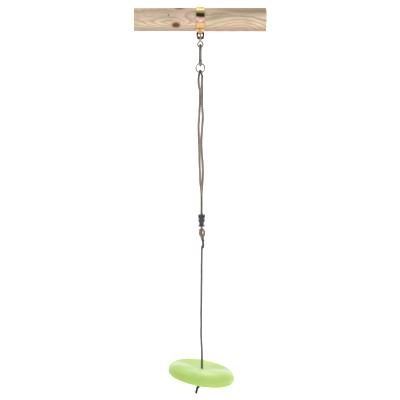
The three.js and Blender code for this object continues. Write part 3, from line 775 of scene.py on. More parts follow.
rope_fibre("rope_upper", (78, 60, 50), (176, 152, 134), (248, 232, 216), deep=1.0)
rope_fibre("rope_knot", (84, 64, 48), (180, 154, 134), (248, 232, 216), deep=1.0)
rope_fibre("rope_single", (58, 49, 47), (114, 103, 98), (174, 162, 157), deep=0.6)
# dark rope: the whippings' twine, and painted shade on the knot and tail under the seat
rope_fibre("dark_rope_and_painted_shade", (24, 20, 26), (48, 42, 50), (84, 76, 82), yarn=0.6)
plastic(
    "black_polyamide", [(20, 24, 32), (30, 36, 46), (44, 51, 64)],
    scuffed=(108, 114, 124), rough=(0.26, 0.46), grain_scale=1400, bump=0.35,
)
plastic(
    "nylon_bush", [(22, 14, 10), (34, 24, 18), (46, 34, 26)],
    scuffed=(80, 66, 56), rough=(0.45, 0.65), grain_scale=1600, bump=0.3,
)

# ------------------------------------------------------------------ pole

POLE_R_LEFT, POLE_R_RIGHT = 49.6, 51.2
# bends in the year rings on the front: x, z, spread in x, spread round the pole, strength
RING_BENDS = [
    (172, -36, 96, 44, -3.2),
    (150, 40, 120, 10, 0.8),
    (-132, -14, 100, 21, 2.8),
    (-103, -23, 26, 15, 1.6),
    (-40, 10, 46, 90, -0.9),
    (-90, 47, 30, 14, 1.8),
    (60, 30, 80, 18, -0.7),
]
# x, z, half length, half width
KNOTS = [(-103.5, -23.5, 17.0, 11.8), (-90, 47.4, 20, 11), (-135, 20.2, 3.4, 2.8),
         (148, -58, 12, 9)]


def make_pole():
    left, right = -HANG_X, POLE_LENGTH - HANG_X
    around, stations = ((176, 300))
    middle = np.linspace(left + 4, right - 4, stations)
    xs = np.r_[left, left + 0.5, left + 1.5, middle, right - 1.5, right - 0.5, right]
    # the arris at each end is eased
    inset = np.zeros(len(xs))
    inset[0] = inset[-1] = 0.8
    inset[1] = inset[-2] = 0.25
    inset[2] = inset[-3] = 0.05
    angles = 2 * np.pi * np.arange(around) / around
    X, A = np.meshgrid(xs, angles, indexing="ij")
    plain = POLE_R_LEFT + (POLE_R_RIGHT - POLE_R_LEFT) * (X - left) / POLE_LENGTH
    # slight unevenness, dying out under the band
    uneven = (
        0.28 * np.sin(X / 61 + 1.3 + np.sin(A))
        + 0.22 * np.sin(2 * A + X / 140)
        + 0.12 * np.sin(5 * A + X / 37)
    )
    calm = 1 - np.exp(-((X / 30.0) ** 4))
    R = plain + 0.1 + uneven * 0.6 * calm - inset[:, None]
    Y = -R * np.cos(A)
    Z = R * np.sin(A)
    verts = np.stack([X, Y, Z], -1).reshape(-1, 3)

    def offsets(x, z):
        """Distances along and round the surface from a point on the front."""
        start = math.asin(max(-1, min(1, z / 50.0)))
        return X - x, ((A - start + np.pi) % (2 * np.pi) - np.pi) * 50.0

    # rings 7 mm apart about a pith line behind and below the axis
    ring = np.sqrt((Y - 9 - 0.012 * X) ** 2 + (Z + 13 - 0.02 * X) ** 2) / 7.0
    for x, z, spread_x, spread_round, strength in RING_BENDS:
        along, across = offsets(x, z)
        ring = ring + strength * np.exp(-((along / spread_x) ** 2) - (across / spread_round) ** 2)
    knot = np.zeros_like(X)
    for x, z, half_length, half_width in KNOTS:
        along, across = offsets(x, z)
        away = np.sqrt((along / half_length) ** 2 + (across / half_width) ** 2)
        knot = np.maximum(knot, 1 / (1 + away**3.4))
    # painted shade: the round pole darker along the top, the upper right and the underside
    tone = (
        0.6 * np.clip((Z - 20) / 28, 0, 1) ** 1.2
        + 0.8 * np.clip((X - 60) / 120, 0, 1) * np.clip((Z - 14) / 24, 0, 1)
        + 0.72 * np.clip((-Z - 20) / 22, 0, 1)
    )

    faces, uvs = wrap(len(xs), around, xs / 100)
    uvs = [[(v, u) for u, v in face] for face in uvs]
    side_faces = len(faces)
    # end faces as rings of quads, so that the end grain has its own fineness
    for row in (0, len(xs) - 1):
        outer = [row * around + k for k in range(around)]
        base = verts[outer]
        turn = -1 if row == 0 else 1
        for shrink in (0.75, 0.5, 0.25):
            inner = [len(verts) + k for k in range(around)]
            verts = np.vstack([verts, base * np.array([1, shrink, shrink])])
            for k in range(around):
                l = (k + 1) % around
                faces.append((outer[k], inner[k], inner[l], outer[l])[::turn])
                uvs.append(SQUARE)
            outer = inner
        centre = len(verts)
        verts = np.vstack([verts, [base[0, 0], 0, 0]])
        for k in range(around):
            faces.append((centre, *(outer[k], outer[(k + 1) % around])[::turn]))
            uvs.append(SQUARE[:3])
    pole = Piece().add(verts, faces, uvs).build("pole_timber", "pine_round", CLAMP, "pole", "pine")
    pole.data.materials.append(MATERIALS["pine_end_grain"])
    for i, face in enumerate(pole.data.polygons):
        if i >= side_faces:
            face.material_index = 1
            face.use_smooth = False
    for name, field in (("ringf", ring), ("knotf", knot), ("painted_shadef", tone)):
        attribute = pole.data.attributes.new(name, "FLOAT", "POINT")
        values = np.zeros(len(verts), np.float32)
        values[: X.size] = field.reshape(-1)
        attribute.data.foreach_set("value", values)


# ------------------------------------------------------------------ clamp

BAND_R = 52.75  # to the middle of the strap
BAND_HALF_THICK = 1.75
BAND_HALF_WIDTH = 17.5
EAR_Y = 5.65
EAR_BEND_R = 4.0
# half width of the strap by height, from the ears' tips up to the bends
EAR_Z = [-65.2, -64.6, -63.5, -61.5, -57.5, -54.6, -52.6, -51.5]
EAR_HALF_WIDTHS = [3.2, 5.0, 6.6, 7.8, 8.0, 8.6, 15.2, 17.4]


def make_band():
    """One strap, bent round the pole and down into two ears."""
    edge_r = 0.9
    start = math.asin((EAR_Y + 4.2) / BAND_R)
    ear = [(EAR_Y, z) for z in (-65.0, -63.8, -60, -57.6)]
    bend_y, bend_z = EAR_Y + EAR_BEND_R, -BAND_R * math.cos(start) - 3.4
    for t in (0.15, 0.45, 0.8, 1.15):
        y = bend_y - EAR_BEND_R * math.cos(t)
        ear.append((y, bend_z + EAR_BEND_R * math.sin(t) * 0.86))
    arc = []
    for i in range(121):
        a = start + (2 * math.pi - 2 * start) * i / 120
        arc.append((BAND_R * math.sin(a), -BAND_R * math.cos(a)))
    path = catmull(in_yz(ear + arc + [(-y, z) for y, z in ear[::-1]]), per=3)
    tangent = np.gradient(path, axis=0)
    tangent /= np.linalg.norm(tangent, axis=1)[:, None]
    normal = np.cross(tangent, np.array([1.0, 0, 0]))
    # the section's rounded corners: signs across and through, and offsets from the corner
    section = []
    for i, (across, through) in enumerate(((1, 1), (-1, 1), (-1, -1), (1, -1))):
        for t in range(3):
            a = math.radians(90 * i + 45 * t)
            offset = edge_r * (math.cos(a) - across), edge_r * (math.sin(a) - through)
            section.append((across, through, *offset))
    verts = []
    for point, out in zip(path, normal):
        width = BAND_HALF_WIDTH
        if abs(point[1]) < 9 and point[2] < -51:
            width = np.interp(point[2], EAR_Z, EAR_HALF_WIDTHS)
        for across, through, dx, dn in section:
            side = np.array([across * width + dx, 0, 0])
            verts.append(point + side + out * (through * BAND_HALF_THICK + dn))
    piece = Piece().loft(verts, len(section), [i / 12 for i in range(len(path))])
    name, material = "band_strap", "yellow_passivated_band"
    fix_normals(piece.build(name, material, CLAMP, "clamp_band", "band_zinc"))


def make_stirrup():
    piece = Piece().box((-16.6, 16.6), (-3.5, 3.5), (-61, -51.8))
    piece.build_hard(
        "stirrup_bar", "dark_passivated", CLAMP, None, "dark_steel",
        bevel=1.6, segments=3, flat=True,
    )
    # distance from the middle and height down each leg
    leg = [(13.4, -56), (13.5, -61), (13.4, -67), (12.2, -71.6), (9.0, -75.4)]
    piece = Piece().turned(disc(2.9, 5.2, -3.6, 3.6, 0.5), 40, "y", (0, 0, CLAMP_BOLT_Z))
    for side in (-1, 1):
        piece.tube(curve([(side * x, 0, z) for x, z in leg], 0.8), 3.95, 24)
        piece.turned(disc(3.2, 7.0, *span_on(side, 6.4, 10.3), 0.8), 40, "x", CROSS_AXIS)
    piece.build_hard("stirrup_legs", "dark_passivated", CLAMP, "stirrup", "dark_steel")


def make_closing_bolt():
    at = (0, 0, CLAMP_BOLT_Z)
    # cap head with a round socket at the front, and the shank through both ears
    profile = [
        (0.01, -9.0), (2.3, -9.2), (2.4, -11.2), (3.7, -11.3), (4.2, -10.8), (4.2, -7.9),
        (4.0, -7.7), (2.5, -7.7), (2.5, 14.2), (2.1, 14.6), (0.01, 14.6),
    ]
    material = "yellow_passivated_band"
    piece = Piece().turned(profile, 40, "y", at)
    piece.build_hard("closing_bolt", material, CLAMP, "clamp_bolt", "dark_steel")
    piece = Piece().hexagon(4.6, 7.75, 11.7, "y", at, bore=2.6, spin=math.pi / 6)
    piece.build_hard(
        "closing_nut", material, CLAMP, "clamp_nut", "band_zinc", flat=True, bevel=0.2
    )


def make_cross_bolt():
    head_r = 5.6
    piece = Piece().hexagon(head_r, -15.5, -11.9, "x", CROSS_AXIS)
    shank = [(0.01, -12), (3, -12), (3, 16.7), (2.6, 17.2), (0.01, 17.2)]
    piece.turned(shank, 32, "x", CROSS_AXIS)
    piece.build_hard("cross_bolt", "zinc_grey", CLAMP, "link_bolt", "zinc")
    piece = Piece().hexagon(head_r, 12, 16, "x", CROSS_AXIS, bore=3.05)
    piece.build_hard("cross_nut", "zinc_grey", CLAMP, "link_nut", "zinc", flat=True, bevel=0.2)
    for side, word in ((-1, "left"), (1, "right")):
        profile = disc(3.2, 6.0, *span_on(side, 10.55, 11.65), 0.2)
        piece = Piece().turned(profile, 40, "x", CROSS_AXIS)
        piece.build_hard("cross_washer_" + word, "zinc_bright", CLAMP, "washer_" + word, "zinc")
    piece = Piece().turned(disc(3.1, 6.45, -6.05, 6.05, 0.5), 48, "x", CROSS_AXIS)
    piece.build_hard("pivot_bush", "nylon_bush", CLAMP, "link_bush", "bush")


# ------------------------------------------------------------------ link, hook, ring


def make_link():
    """A closed wire link, its lower eye a quarter turn from its upper one."""
    half = [
        (0, -7.2, -71), (0, -10.35, -78.6), (0.9, -8.2, -86.2), (3, -2.5, -91.8),
        (7.4, -0.6, -96.4), (11.2, 0, -102.4), (10.4, 0, -109.8), (6, 0, -114.8),
    ]
    other_half = [(-x, -y, z) for x, y, z in half[::-1]]
    points = [(0, 0, -67.9)] + half + [(0, 0, -116.5)] + other_half
    piece = Piece().tube(curve(points, 0.9, closed=True), 3.4, 24, closed=True)
    piece.build_hard("wire_link", "zinc_grey", "link", "twist_link", "zinc")


def make_hook():
    # y, z along the rod, from the gate's eye over the top, down the back and up to the tip
    foot = HOOK_FOOT_Z
    points = [
        (-10.8, -127), (-10.3, -121.5), (-9.4, -114.8), (-5.6, -109.3), (0, -107.6),
        (5.6, -109.3), (9.4, -114.8), (10.8, -122), (13.2, -148), (15.9, -176),
        (14.6, foot + 9.3), (8.8, foot + 2.6), (0, foot), (-8.8, foot + 2.6),
        (-14.6, foot + 9.3), (-16.2, -177), (-15.4, -168.6),
    ]
    path, along = resample(catmull(in_yz(points)), 1.0)
    end = along[-1]
    radius = HOOK_ROD * np.interp(along, [0, 3, end - 2.5, end], [0.93, 1, 1, 0.9])
    piece = Piece().tube(path, radius, 28)
    piece.turned(disc(1.7, 3.0, -1.7, 1.7, 0.4), 32, "x", GATE_PIN)
    piece.box((-1.7, 1.7), (-13.7, -8.0), (-129.2, -126))
    piece.spin(HOOK_TURN).build_hard("hook_rod", "zinc_hook", "hook", "snap_hook", "zinc")


def make_gate():
    _, y, z = GATE_PIN
    points = [(y - 0.3, z - 4.5), (y - 1.6, z - 14), (y - 3.1, z - 25), (y - 4.2, z - 34.9)]
    path, along = resample(catmull(in_yz(points)), 0.8)
    end = along[-1]
    radius = np.interp(along, [0, 1.5, end - 2, end], [4.0, 4.45, 4.45, 4.0])
    piece = Piece().tube(path, radius, 28)
    for side in (-1, 1):
        cheek = span_on(side, 2.15, 4.2)
        piece.turned(disc(1.65, 2.75, *cheek), 32, "x", GATE_PIN)
        piece.box(cheek, (y - 2.7, y + 2.6), (z - 6, z - 1.75))
    piece.spin(HOOK_TURN).build_hard("gate_arm", "zinc_bright", "gate", "hook_gate", "zinc")
    # a domed head at each end of the pin
    half = [(0.01, 5.7), (1.4, 5.6), (2.3, 5.15), (2.4, 4.95), (1.5, 4.9)]
    profile = [(r, -h) for r, h in half] + half[::-1]
    piece = Piece().turned(profile, 28, "x", GATE_PIN)
    piece.spin(HOOK_TURN).build_hard("gate_rivet", "zinc_bright", "hook", "gate_pin", "zinc")


def make_ring():
    def on_ring(angle):
        x = RING_R * math.sin(angle)
        z = RING_Z + RING_R * math.cos(angle)
        return x * math.cos(RING_TURN), -x * math.sin(RING_TURN), z

    circle = np.array([on_ring(2 * math.pi * i / 140) for i in range(140)])
    piece = Piece().tube(circle, RING_WIRE, 24, closed=True)
    # the closed butt weld of the ring, a slight swelling on one side
    weld = np.array([on_ring(math.radians(112) + math.radians(i - 4)) for i in range(9)])
    piece.tube(weld, [3.0, 3.3, 3.38, 3.42, 3.42, 3.42, 3.38, 3.3, 3.0], 20)
    piece.build_hard("steel_ring", "zinc_bright", "ring_body", "ring", "bright_zinc")


# ------------------------------------------------------------------ rope

# the doubled rope below the ring: z, front leg's x, back leg's x, each leg's distance from y = 0
LEGS = [
    (-240, -6.7, 7.5, 7.4), (-275, -7.1, 6.7, 6.6), (-301, -2.6, 7.8, 6.3),
    (-344, -1.4, 7.6, 6.3), (-378, -3.2, 8.6, 6.3), (-421, -5.4, 11, 6),
    (-447, -7.6, 8.9, 5.6), (-473, -7.6, 7.6, 5.4), (-517, -6.3, 4.6, 5.4),
    (-569, -4.6, 5.9, 5.6), (-609, -3.7, 9.3, 5.8), (-661, -2, 11.1, 6.2),
    (-692, -1.1, 10.2, 6.4), (-727, 2.4, 7.6, 6.5), (-745, 4.9, 5.8, 6.5),
] + [(z, ADJUSTER_X, ADJUSTER_X, ROPE_HALF_GAP) for z in (-762, -800, -850, -901)]
# the single rope from the upper knot through the hub: x, y, z
NECK = [
    (5.9, 0, -950), (5.9, 0, -952), (8.8, 0, -958), (10.9, 0, -965), (10.9, 0, -976),
    (9.2, 0, -983.4), (6.7, 0, -988), (6.4, 0, -991.4),
]
LOWER = [
    (6.4, 0, -997), (6, 0, -1028), (5.5, 0.4, -1064), (5.2, 0.6, -1136), (4.6, 0.4, -1190),
    (4.2, 0, -1244), (3.4, -0.4, -1294), (4.1, -0.6, -1334), (3.1, -0.6, -1375),
    (4.4, -0.4, -1407), (6.0, 0, -1444),
] + [(HUB_X, 0, z) for z in (-1480, -1510, -1532, -1548, -1576)]


def make_doubled_rope():
    front = [(x, -gap, z) for z, x, _, gap in LEGS]
    back = [(x, gap, z) for z, _, x, gap in LEGS]
    reach = RING_WIRE + 5.0 + 0.3
    saddle = []
    for i in range(7):
        a = math.pi - math.pi * i / 6
        out = reach * math.cos(a)
        x, y = out * math.sin(RING_TURN), out * math.cos(RING_TURN)
        saddle.append((x, y, SADDLE_Z + reach * math.sin(a)))
    path = curve(front[::-1] + saddle + back, ROPE_STEP)
    # drawn tighter over the ring and where it runs through the adjuster's holes
    heights = [-1000, -768, -750, -262, -240, 0]
    taper = np.interp(path[:, 2], heights, [0.9, 0.9, 1, 1, 0.865, 0.865])
    piece = Piece().rope(path, 5.85, 34, 0.4, taper=taper)
    piece.build("rope_over_ring", "rope_upper", "rope_upper", "rope_loop", "rope")


def make_single_rope():
    """One rope from the knot to the hub, parted square where it swivels."""
    half_gap = 0.15
    path = curve(NECK + LOWER, ROPE_STEP)
    _, side, across = frames(path)
    along = run(path)
    for up, name, material, node in (
        (1, "rope_neck_strand", "rope_upper", "rope_neck"),
        (-1, "rope_single_strand", "rope_single", "rope_lower"),
    ):
        keep = up * (path[:, 2] - SWIVEL_Z) >= half_gap
        points = path[keep]
        near, at = (-1, len(points)) if up > 0 else (0, 0)

        def extended(field, extra=None):
            part = field[keep]
            return np.insert(part, at, part[near] if extra is None else extra, axis=0)

        # the end is put exactly on the parting plane
        to_plane = abs(points[near][2] - SWIVEL_Z) - half_gap
        ended = extended(path, [SWIVEL_X, 0, SWIVEL_Z + up * half_gap])
        distance = extended(along, along[keep][near] + up * to_plane)
        whole = (extended(side), extended(across), distance)
        # each length rides the body of the same name as its material
        piece = Piece().rope(ended, 5.35, 36, 1.1, whole=whole)
        piece.build(name, material, material, node, "rope")


def whipped(name, points, radius, body, node):
    """A rope end under close turns of thin twine, with its melted tip showing."""
    pitch = 1.15
    path, along = resample(catmull(points), 0.5)
    end = along[-1]
    core = [radius - 0.4, radius - 0.4, radius - 0.7, radius - 1.5]
    piece = Piece().tube(path, np.interp(along, [0, end - 2, end - 0.6, end], core), 28)
    covered, even = resample(path[along < end - 2.2], 0.35)
    _, side, across = frames(covered)
    # the helix is walked finely enough for a round thread
    fine = np.linspace(0, even[-1], int(even[-1] / pitch * 26))
    centre, side, across = (interpolate(fine, even, f) for f in (covered, side, across))
    turn = (2 * np.pi * fine / pitch)[:, None]
    helix = centre + (radius - 0.25) * (np.cos(turn) * side + np.sin(turn) * across)
    piece.tube(helix, 0.58, 8)
    piece.build(name, "dark_rope_and_painted_shade", body, node, "rope_end")


# the upper knot's open runs of rope: points, phase of the strands
KNOT_RUNS = [
    ([(5.3, -6.5, -898), (5.0, -6.6, -904.5), (0.8, -7.2, -911), (-2.3, -6.2, -920),
      (-2.2, -4.2, -931), (2.4, -2, -940), (5.6, 0, -945.5), (5.9, 0, -950)], 0.0),
    ([(5.3, 6.5, -898), (5.6, 6.6, -904.5), (11.6, 6.8, -911), (17.0, 4.6, -920),
      (17.3, 0.6, -930), (14.2, -1.6, -938), (8.8, -1.6, -944)], 0.8),
    ([(7, -2, -908), (5.4, -6.8, -915), (5.5, -7.4, -925), (7, -5.2, -936), (9, -3, -941)],
     0.6),
    ([(12, -1, -932), (12.4, -6.6, -939.5), (12, -9.8, -946), (11.8, -10.2, -951)], 0.3),
]
# its closed turns
KNOT_TURNS = [
    ([(-1.4, -1, -911), (5.8, -9.8, -908.6), (13.6, -1, -912), (5.8, 8.8, -913.2)], 0.5),
    ([(1.2, -2, -936), (8.2, -8.4, -939.2), (15, -1, -936.4), (8, 6.2, -936.4)], 1.4),
]


def make_stopper_knot():
    piece = Piece()
    for points, phase in KNOT_RUNS:
        piece.cord(points, phase)
    for points, phase in KNOT_TURNS:
        piece.cord(points, phase, closed=True)
    piece.build("knot_stopper", "rope_knot", "rope_upper", "stopper_knot", "rope")
    tail = [
        (11.8, -10.2, -951), (12.2, -10.3, -954), (14.8, -10.4, -959), (10.8, -10.4, -966.5),
        (14.6, -10.4, -974), (12.6, -10.4, -982.3),
    ]
    piece = Piece().cord(tail, 0.2, radius=4.7, lay=30)
    piece.build("knot_tail", "rope_single", "rope_upper", "rope_tail", "rope")
    tip = [(12.55, -10.4, -982.3), (12, -10.3, -987), (11.4, -10.2, -991.3)]
    whipped("knot_tail_whipping", tip, 4.6, "rope_upper", "whip_tail")
    # a short dark stub standing out under the knot
    strand = [(8.6, -9.5, -950.6), (8.4, -12.2, -952.6), (8.2, -13.2, -955.4)]
    piece = Piece().tube(curve(strand, 0.5), 2.6, 16)
    piece.build("knot_dark_stub", "dark_rope_and_painted_shade", "rope_upper", None, "rope_end")


def hoop(x, radius, z, tilt, phase, y=0.0):
    """Eight points of a level turn of rope; tilt lifts one side."""
    angles = [2 * math.pi * i / 8 + phase for i in range(8)]
    return [
        (x + radius * math.cos(a), y + radius * math.sin(a), z + tilt * math.cos(a))
        for a in angles
    ]


def make_hub_knot():
    x = HUB_X
    z = HUB_Z - 19 - 5.5  # half a rope below the cup washer

    def below(rows):
        """Rows of x, y, z from the knot's middle."""
        return [(x + dx, dy, z + dz) for dx, dy, dz in rows]

    piece = Piece()
    piece.cord(hoop(x, 10.2, z - 0.4, 0.4, 0), 0.0, closed=True)
    piece.cord(hoop(x, 9.6, z - 8.8, 1.2, 0.5), 1.0, closed=True)
    leading_out = [
        (0, 0, -8.6), (0, 0, -11), (-1, 0, -14), (-4.5, 0, -17), (-7.4, 0, -21), (-9.2, 0, -25.2),
    ]
    piece.cord(below(leading_out), 0.2)
    # painted shade under the seat: the knot takes the dark rope material
    piece.build("knot_under_hub", "dark_rope_and_painted_shade", "rope_single", "seat_knot", "rope")
    tail = [
        (-9.3, 0, -25.2), (-11, -0.2, -30), (-14.6, -0.8, -42), (-17.6, -1.2, -50),
        (-20.1, -1.6, -57.2),
    ]
    piece = Piece().cord(below(tail), 0.9)
    loop = hoop(x - 16.0, 4.2, z - 54, 1.0, 0, y=-1.2)
    piece.cord(loop, 0.5, closed=True, radius=4.8, lay=30, step=KNOT_STEP * 0.6)
    # painted shade under the seat: the tail takes the dark rope material
    piece.build("tail_below_seat", "dark_rope_and_painted_shade", "rope_single", "seat_tail", "rope")
    tip = [(-20.2, -1.64, -57.3), (-22, -2, -63), (-24.2, -2.3, -72), (-26.6, -2.6, -83.8)]
    whipped("tail_whipping", below(tip), 5.4, "rope_single", "whip_seat_tail")


# ------------------------------------------------------------------ adjuster

# half width, half depth, bottom, top; the first is the body, the rest its collars and ribs
ADJUSTER_SLABS = [
    (9.4, 15, -894.6, -844.4),
    (15.45, 19.9, -857.6, -844.01),
    (15.4, 19.4, -867.4, -863.6),
    (15.4, 19.4, -876.2, -872.4),
    (11.6, 16.4, -873.2, -866.6),
    (10.6, 15.8, -885.2, -882.6),
    (15.45, 19.9, -894.99, -890.8),
]


def rounded_outline(half_x, half_y, steps=8):
    r = half_x * 0.75
    x, y = half_x - r, half_y - r
    out = []
    for cx, cy, start in ((x, -y, -90), (x, y, 0), (-x, y, 90), (-x, -y, 180)):
        for i in range(steps + 1):
            a = math.radians(start + 90 * i / steps)
            out.append((cx + r * math.cos(a), cy + r * math.sin(a)))
    return out


def slab(half_x, half_y, bottom, top):
    """A level slab with rounded corners and eased edges."""
    ease = 0.55
    edge = [(0, ease), (ease * 0.3, ease * 0.3), (ease, 0)]  # rise, inset
    rows = [(bottom + rise, inset) for rise, inset in edge]
    rows += [(top - rise, inset) for rise, inset in edge[::-1]]
    verts = []
    for z, inset in rows:
        outline = rounded_outline(half_x - inset, half_y - inset)
        verts += [(ADJUSTER_X + x, y, z) for x, y in outline]
    return Piece().loft(verts, len(outline))


def make_adjuster():
    body = "adjuster_body"
    obj = slab(*ADJUSTER_SLABS[0]).build(
        "length_adjuster", "black_polyamide", body, "adjuster", "black_plastic", smooth=False
    )
    # it rides free of its body while it is cut
    obj.parent = None
    for row in ADJUSTER_SLABS[1:]:
        boolean(obj, slab(*row), "UNION")
    # a slot through the top, front to back
    slot = (ADJUSTER_X - 4.5, ADJUSTER_X + 4.5)
    boolean(obj, Piece().box(slot, (-30, 30), (-851, -840)))
    # a hole for each leg of the rope
    for side in (-1, 1):
        hole = [(0.01, -35), (5.5, -35), (5.5, 35), (0.01, 35)]
        at = (ADJUSTER_X, side * ROPE_HALF_GAP, -870)
        boolean(obj, Piece().turned(hole, 40, "z", at))
    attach(obj, body)
    # guards against a cut mesh that comes back without its material
    if not obj.data.materials:
        obj.data.materials.append(MATERIALS["black_polyamide"])
    add_bevel(obj, 0.35, segments=2, degrees=50)


# ------------------------------------------------------------------ seat

SEAT_TOP = 13.0
SEAT_LIP = SEAT_TOP - 45.0
# radius, height over the dish, the rim and down the skirt's outside
SEAT_UPPER = [
    (8.7, 7.8), (14, 7.7), (22, 7.9), (50, 9), (85, 11.3), (102, 12.6), (112, 12.5),
    (121, 11.5), (129.5, 9.2), (137, 5.6), (142.8, 0.6), (146.7, -5.4), (148.8, -12),
    (149.45, -18.4), (149.1, -24.4), (147.9, -29.2),
]
SEAT_LIP_EDGE = [
    (146.6, SEAT_LIP + 0.5), (145.4, SEAT_LIP), (144.4, SEAT_LIP + 0.2), (143.8, SEAT_LIP + 1.4),
]
# back up the skirt's inside and in to the hub
SEAT_UNDER = [
    (143.9, SEAT_LIP + 6), (142.4, SEAT_TOP - 27), (139.2, SEAT_TOP - 19),
    (133, SEAT_TOP - 12), (124, SEAT_TOP - 7.6), (112, SEAT_TOP - 6), (85, 5.8), (50, 3.4),
    (24, -1.4), (17.5, -3.0),
]
RIB_OUTLINE = [
    (14, -3.0), (27, -7), (52, -17), (144.4, -25), (143.6, -15), (136, -0.6), (124, 6.2),
    (85, 6.6), (50, 4.2), (14, -2.0),
]


def smooth_profile(points):
    return [(p[0], p[2]) for p in catmull([(r, 0, z) for r, z in points], per=5)]


def make_seat():
    ball_r = 16.0
    angles = np.radians(np.linspace(-16, -57, 10))
    ball = [(ball_r * math.cos(t), ball_r * math.sin(t)) for t in angles]
    # the hole flares up and down from its waist, so that the seat can tip on the rope
    waist, flare = 5.9, math.tan(math.radians(14.5))
    hole = [
        (waist + 13.3 * flare, -13.2), (waist + 7 * flare, -7), (5.95, -0.2),
        (waist + 0.4 * flare, 0.3), (waist + 7 * flare, 7.0),
    ]
    profile = smooth_profile(SEAT_UPPER) + SEAT_LIP_EDGE + smooth_profile(SEAT_UNDER)
    piece = Piece().turned(profile + ball + hole, 256)
    # six ribs under the dish
    m = len(RIB_OUTLINE)
    for i in range(6):
        a = math.pi / 3 * i + math.pi / 6
        c, s = math.cos(a), math.sin(a)
        verts = [(x * c - y * s, x * s + y * c, z) for y in (-1.5, 1.5) for x, z in RIB_OUTLINE]
        faces = [tuple(range(m)), tuple(range(2 * m - 1, m - 1, -1))]
        faces += [(k, m + k, m + (k + 1) % m, (k + 1) % m) for k in range(m)]
        piece.add(verts, faces, [[(0, 0)] * m] * 2 + [SQUARE] * m)
    location = ((HANG_X + HUB_X) / 1000, 0, HUB_Z / 1000)
    tip = (math.radians(1.5), math.radians(9.5), 0)
    seat = piece.build(
        "seat_disc", "lime_polyethylene", "seat_body", None, "green_plastic",
        place=(location, tip),
    )
    fix_normals(seat)
    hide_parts("seat")
    split_edges(seat, 50)


def make_cup_washer():
    """The cup under the seat's ball."""
    cup_r = 16.35
    cup = [(r, -math.sqrt(cup_r**2 - r * r)) for r in np.linspace(6.2, 13.2, 9)]
    outside = [
        (13.9, -10.2), (14.8, -9.95), (15.3, -10.6), (15.4, -14), (15.1, -17.6),
        (14.4, -18.7), (12.6, -19), (6.6, -19), (6.0, -18.4), (5.95, -16.0),
    ]
    piece = Piece().turned(cup + outside, 96, "z", (HUB_X, 0, HUB_Z))
    name, material = "cup_washer", "black_polyamide"
    piece.build_hard(name, material, "rope_single", "seat_washer", "black_plastic")


make_pole()
make_band()
make_stirrup()
make_closing_bolt()
make_cross_bolt()
make_link()
make_hook()
make_gate()
make_ring()
make_doubled_rope()
make_single_rope()
make_stopper_knot()
make_hub_knot()
make_adjuster()
make_seat()
make_cup_washer()

# ------------------------------------------------------------------ stage, light, camera (metres)


def stage_material():
    mat = Mat("pale_floor")
    place = mat.coords()
    broad = mat.noise(place, scale=1.2)
    fine = mat.noise(place, scale=160, rough=0.6)
    mat.set(
        Base_Color=mat.ramp(mat.weigh(broad, 0.6, fine, 0.4), {0.35: 0.90, 0.65: 0.95}),
        Roughness=0.9,
        Emission_Color=(1, 1, 1, 1),
        Emission_Strength=0.45,
    )
    # the sheet is seen from the object's side only, so the swing shows from behind and below
    clear = mat.node("BsdfTransparent").outputs[0]
    backfacing = mat.node("NewGeometry").outputs["Backfacing"]
    shown = mat.node("MixShader", {0: backfacing, 1: mat.bsdf.outputs[0], 2: clear})
    mat.tree.links.new(shown.outputs[0], mat.out.inputs[0])
    return mat.material


def make_stage():
    """A white sweep: floor, curve and wall in one sheet."""
    floor_z, wall_y, bend = -1.90, 2.6, 1.2
    profile = [(-7.5, floor_z)]
    for a in np.linspace(0, math.pi / 2, 14):
        profile.append((wall_y - bend + bend * math.sin(a), floor_z + bend - bend * math.cos(a)))
    profile.append((wall_y, 5.0))
    verts = [(x, y, z) for y, z in profile for x in (-7, 7.5)]
    faces = [(2 * i, 2 * i + 1, 2 * i + 3, 2 * i + 2) for i in range(len(profile) - 1)]
    mesh = bpy.data.meshes.new("sweep")
    mesh.from_pydata(verts, [], faces)
    set_smooth(mesh, True)
    mesh.materials.append(stage_material())
    link_object("sweep", mesh)


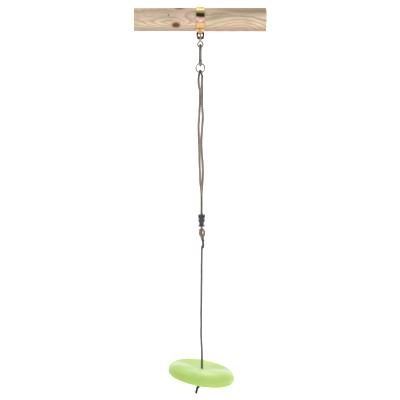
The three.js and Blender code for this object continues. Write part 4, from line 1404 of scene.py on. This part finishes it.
# name, location, aimed at, width and height, watts
LIGHTS = [
    ("key", (-1.6, -3.0, 1.6), (0.28, 0, -0.6), (2.2, 1.6), 29),
    ("fill", (2.6, -3.2, 0.2), (0.28, 0, -0.8), (2.0, 2.6), 20),
    ("low", (0.3, -3.4, -1.4), (0.28, 0, -0.3), (2.4, 0.8), 4),
    ("front_low", (0.1, -4.4, -1.45), (0.29, 0, -1.56), (1.6, 0.7), 19),
    ("top", (0.28, 0.2, 2.4), (0.28, 0, 0), (2.6, 2.0), 7),
    ("wall", (0.28, 0.9, 2.6), (0.28, 2.6, -0.9), (4.0, 1.0), 70),
]


def make_lights():
    for name, location, target, (width, height), power in LIGHTS:
        light = bpy.data.lights.new(name, "AREA")
        light.shape, light.size, light.size_y = "RECTANGLE", width, height
        light.energy = power
        lamp = link_object(name, light)
        lamp.location = location
        aim = Vector(target) - Vector(location)
        lamp.rotation_euler = aim.to_track_quat("-Z", "Y").to_euler()


def make_world():
    """The room: dark behind the camera on the left, white to the right, above and behind."""
    world = bpy.data.worlds.new("studio")
    bpy.context.scene.world = world
    world.use_nodes = True
    tree = world.node_tree
    background = tree.nodes["Background"]
    background.inputs[0].default_value = (1.0, 1.0, 1.0, 1)
    direction = new_node(tree, "TexCoord").outputs["Generated"]
    dark_side = (-0.62, -0.72, -0.30)
    facing = new_node(tree, "VectorMath", {0: direction, 1: dark_side}, operation="DOT_PRODUCT")
    strength = new_node(tree, "MapRange", {
        "Value": facing.outputs["Value"],
        "From Min": -0.3, "From Max": 0.75, "To Min": 0.5, "To Max": 0.16,
    }).outputs[0]
    # straight at the room the eye meets plain white; the gradient only lights the object
    camera_ray = new_node(tree, "LightPath").outputs["Is Camera Ray"]
    seen = new_node(tree, "Mix", {0: camera_ray, 2: strength, 3: 0.95}, data_type="FLOAT")
    tree.links.new(seen.outputs[0], background.inputs[1])
    bpy.context.scene.view_settings.view_transform = "Standard"


def make_camera():
    data = bpy.data.cameras.new("camera")
    data.sensor_width = 36.0
    data.lens = 114.48
    data.clip_end = 60
    camera = link_object("camera", data)
    camera.location = (0.2825, -5.5, 0.0)
    camera.rotation_euler = (math.radians(90 - 8.07), 0, 0)  # tipped down
    bpy.context.scene.camera = camera


make_stage()
make_lights()
make_world()
make_camera()

bpy.context.view_layer.update()
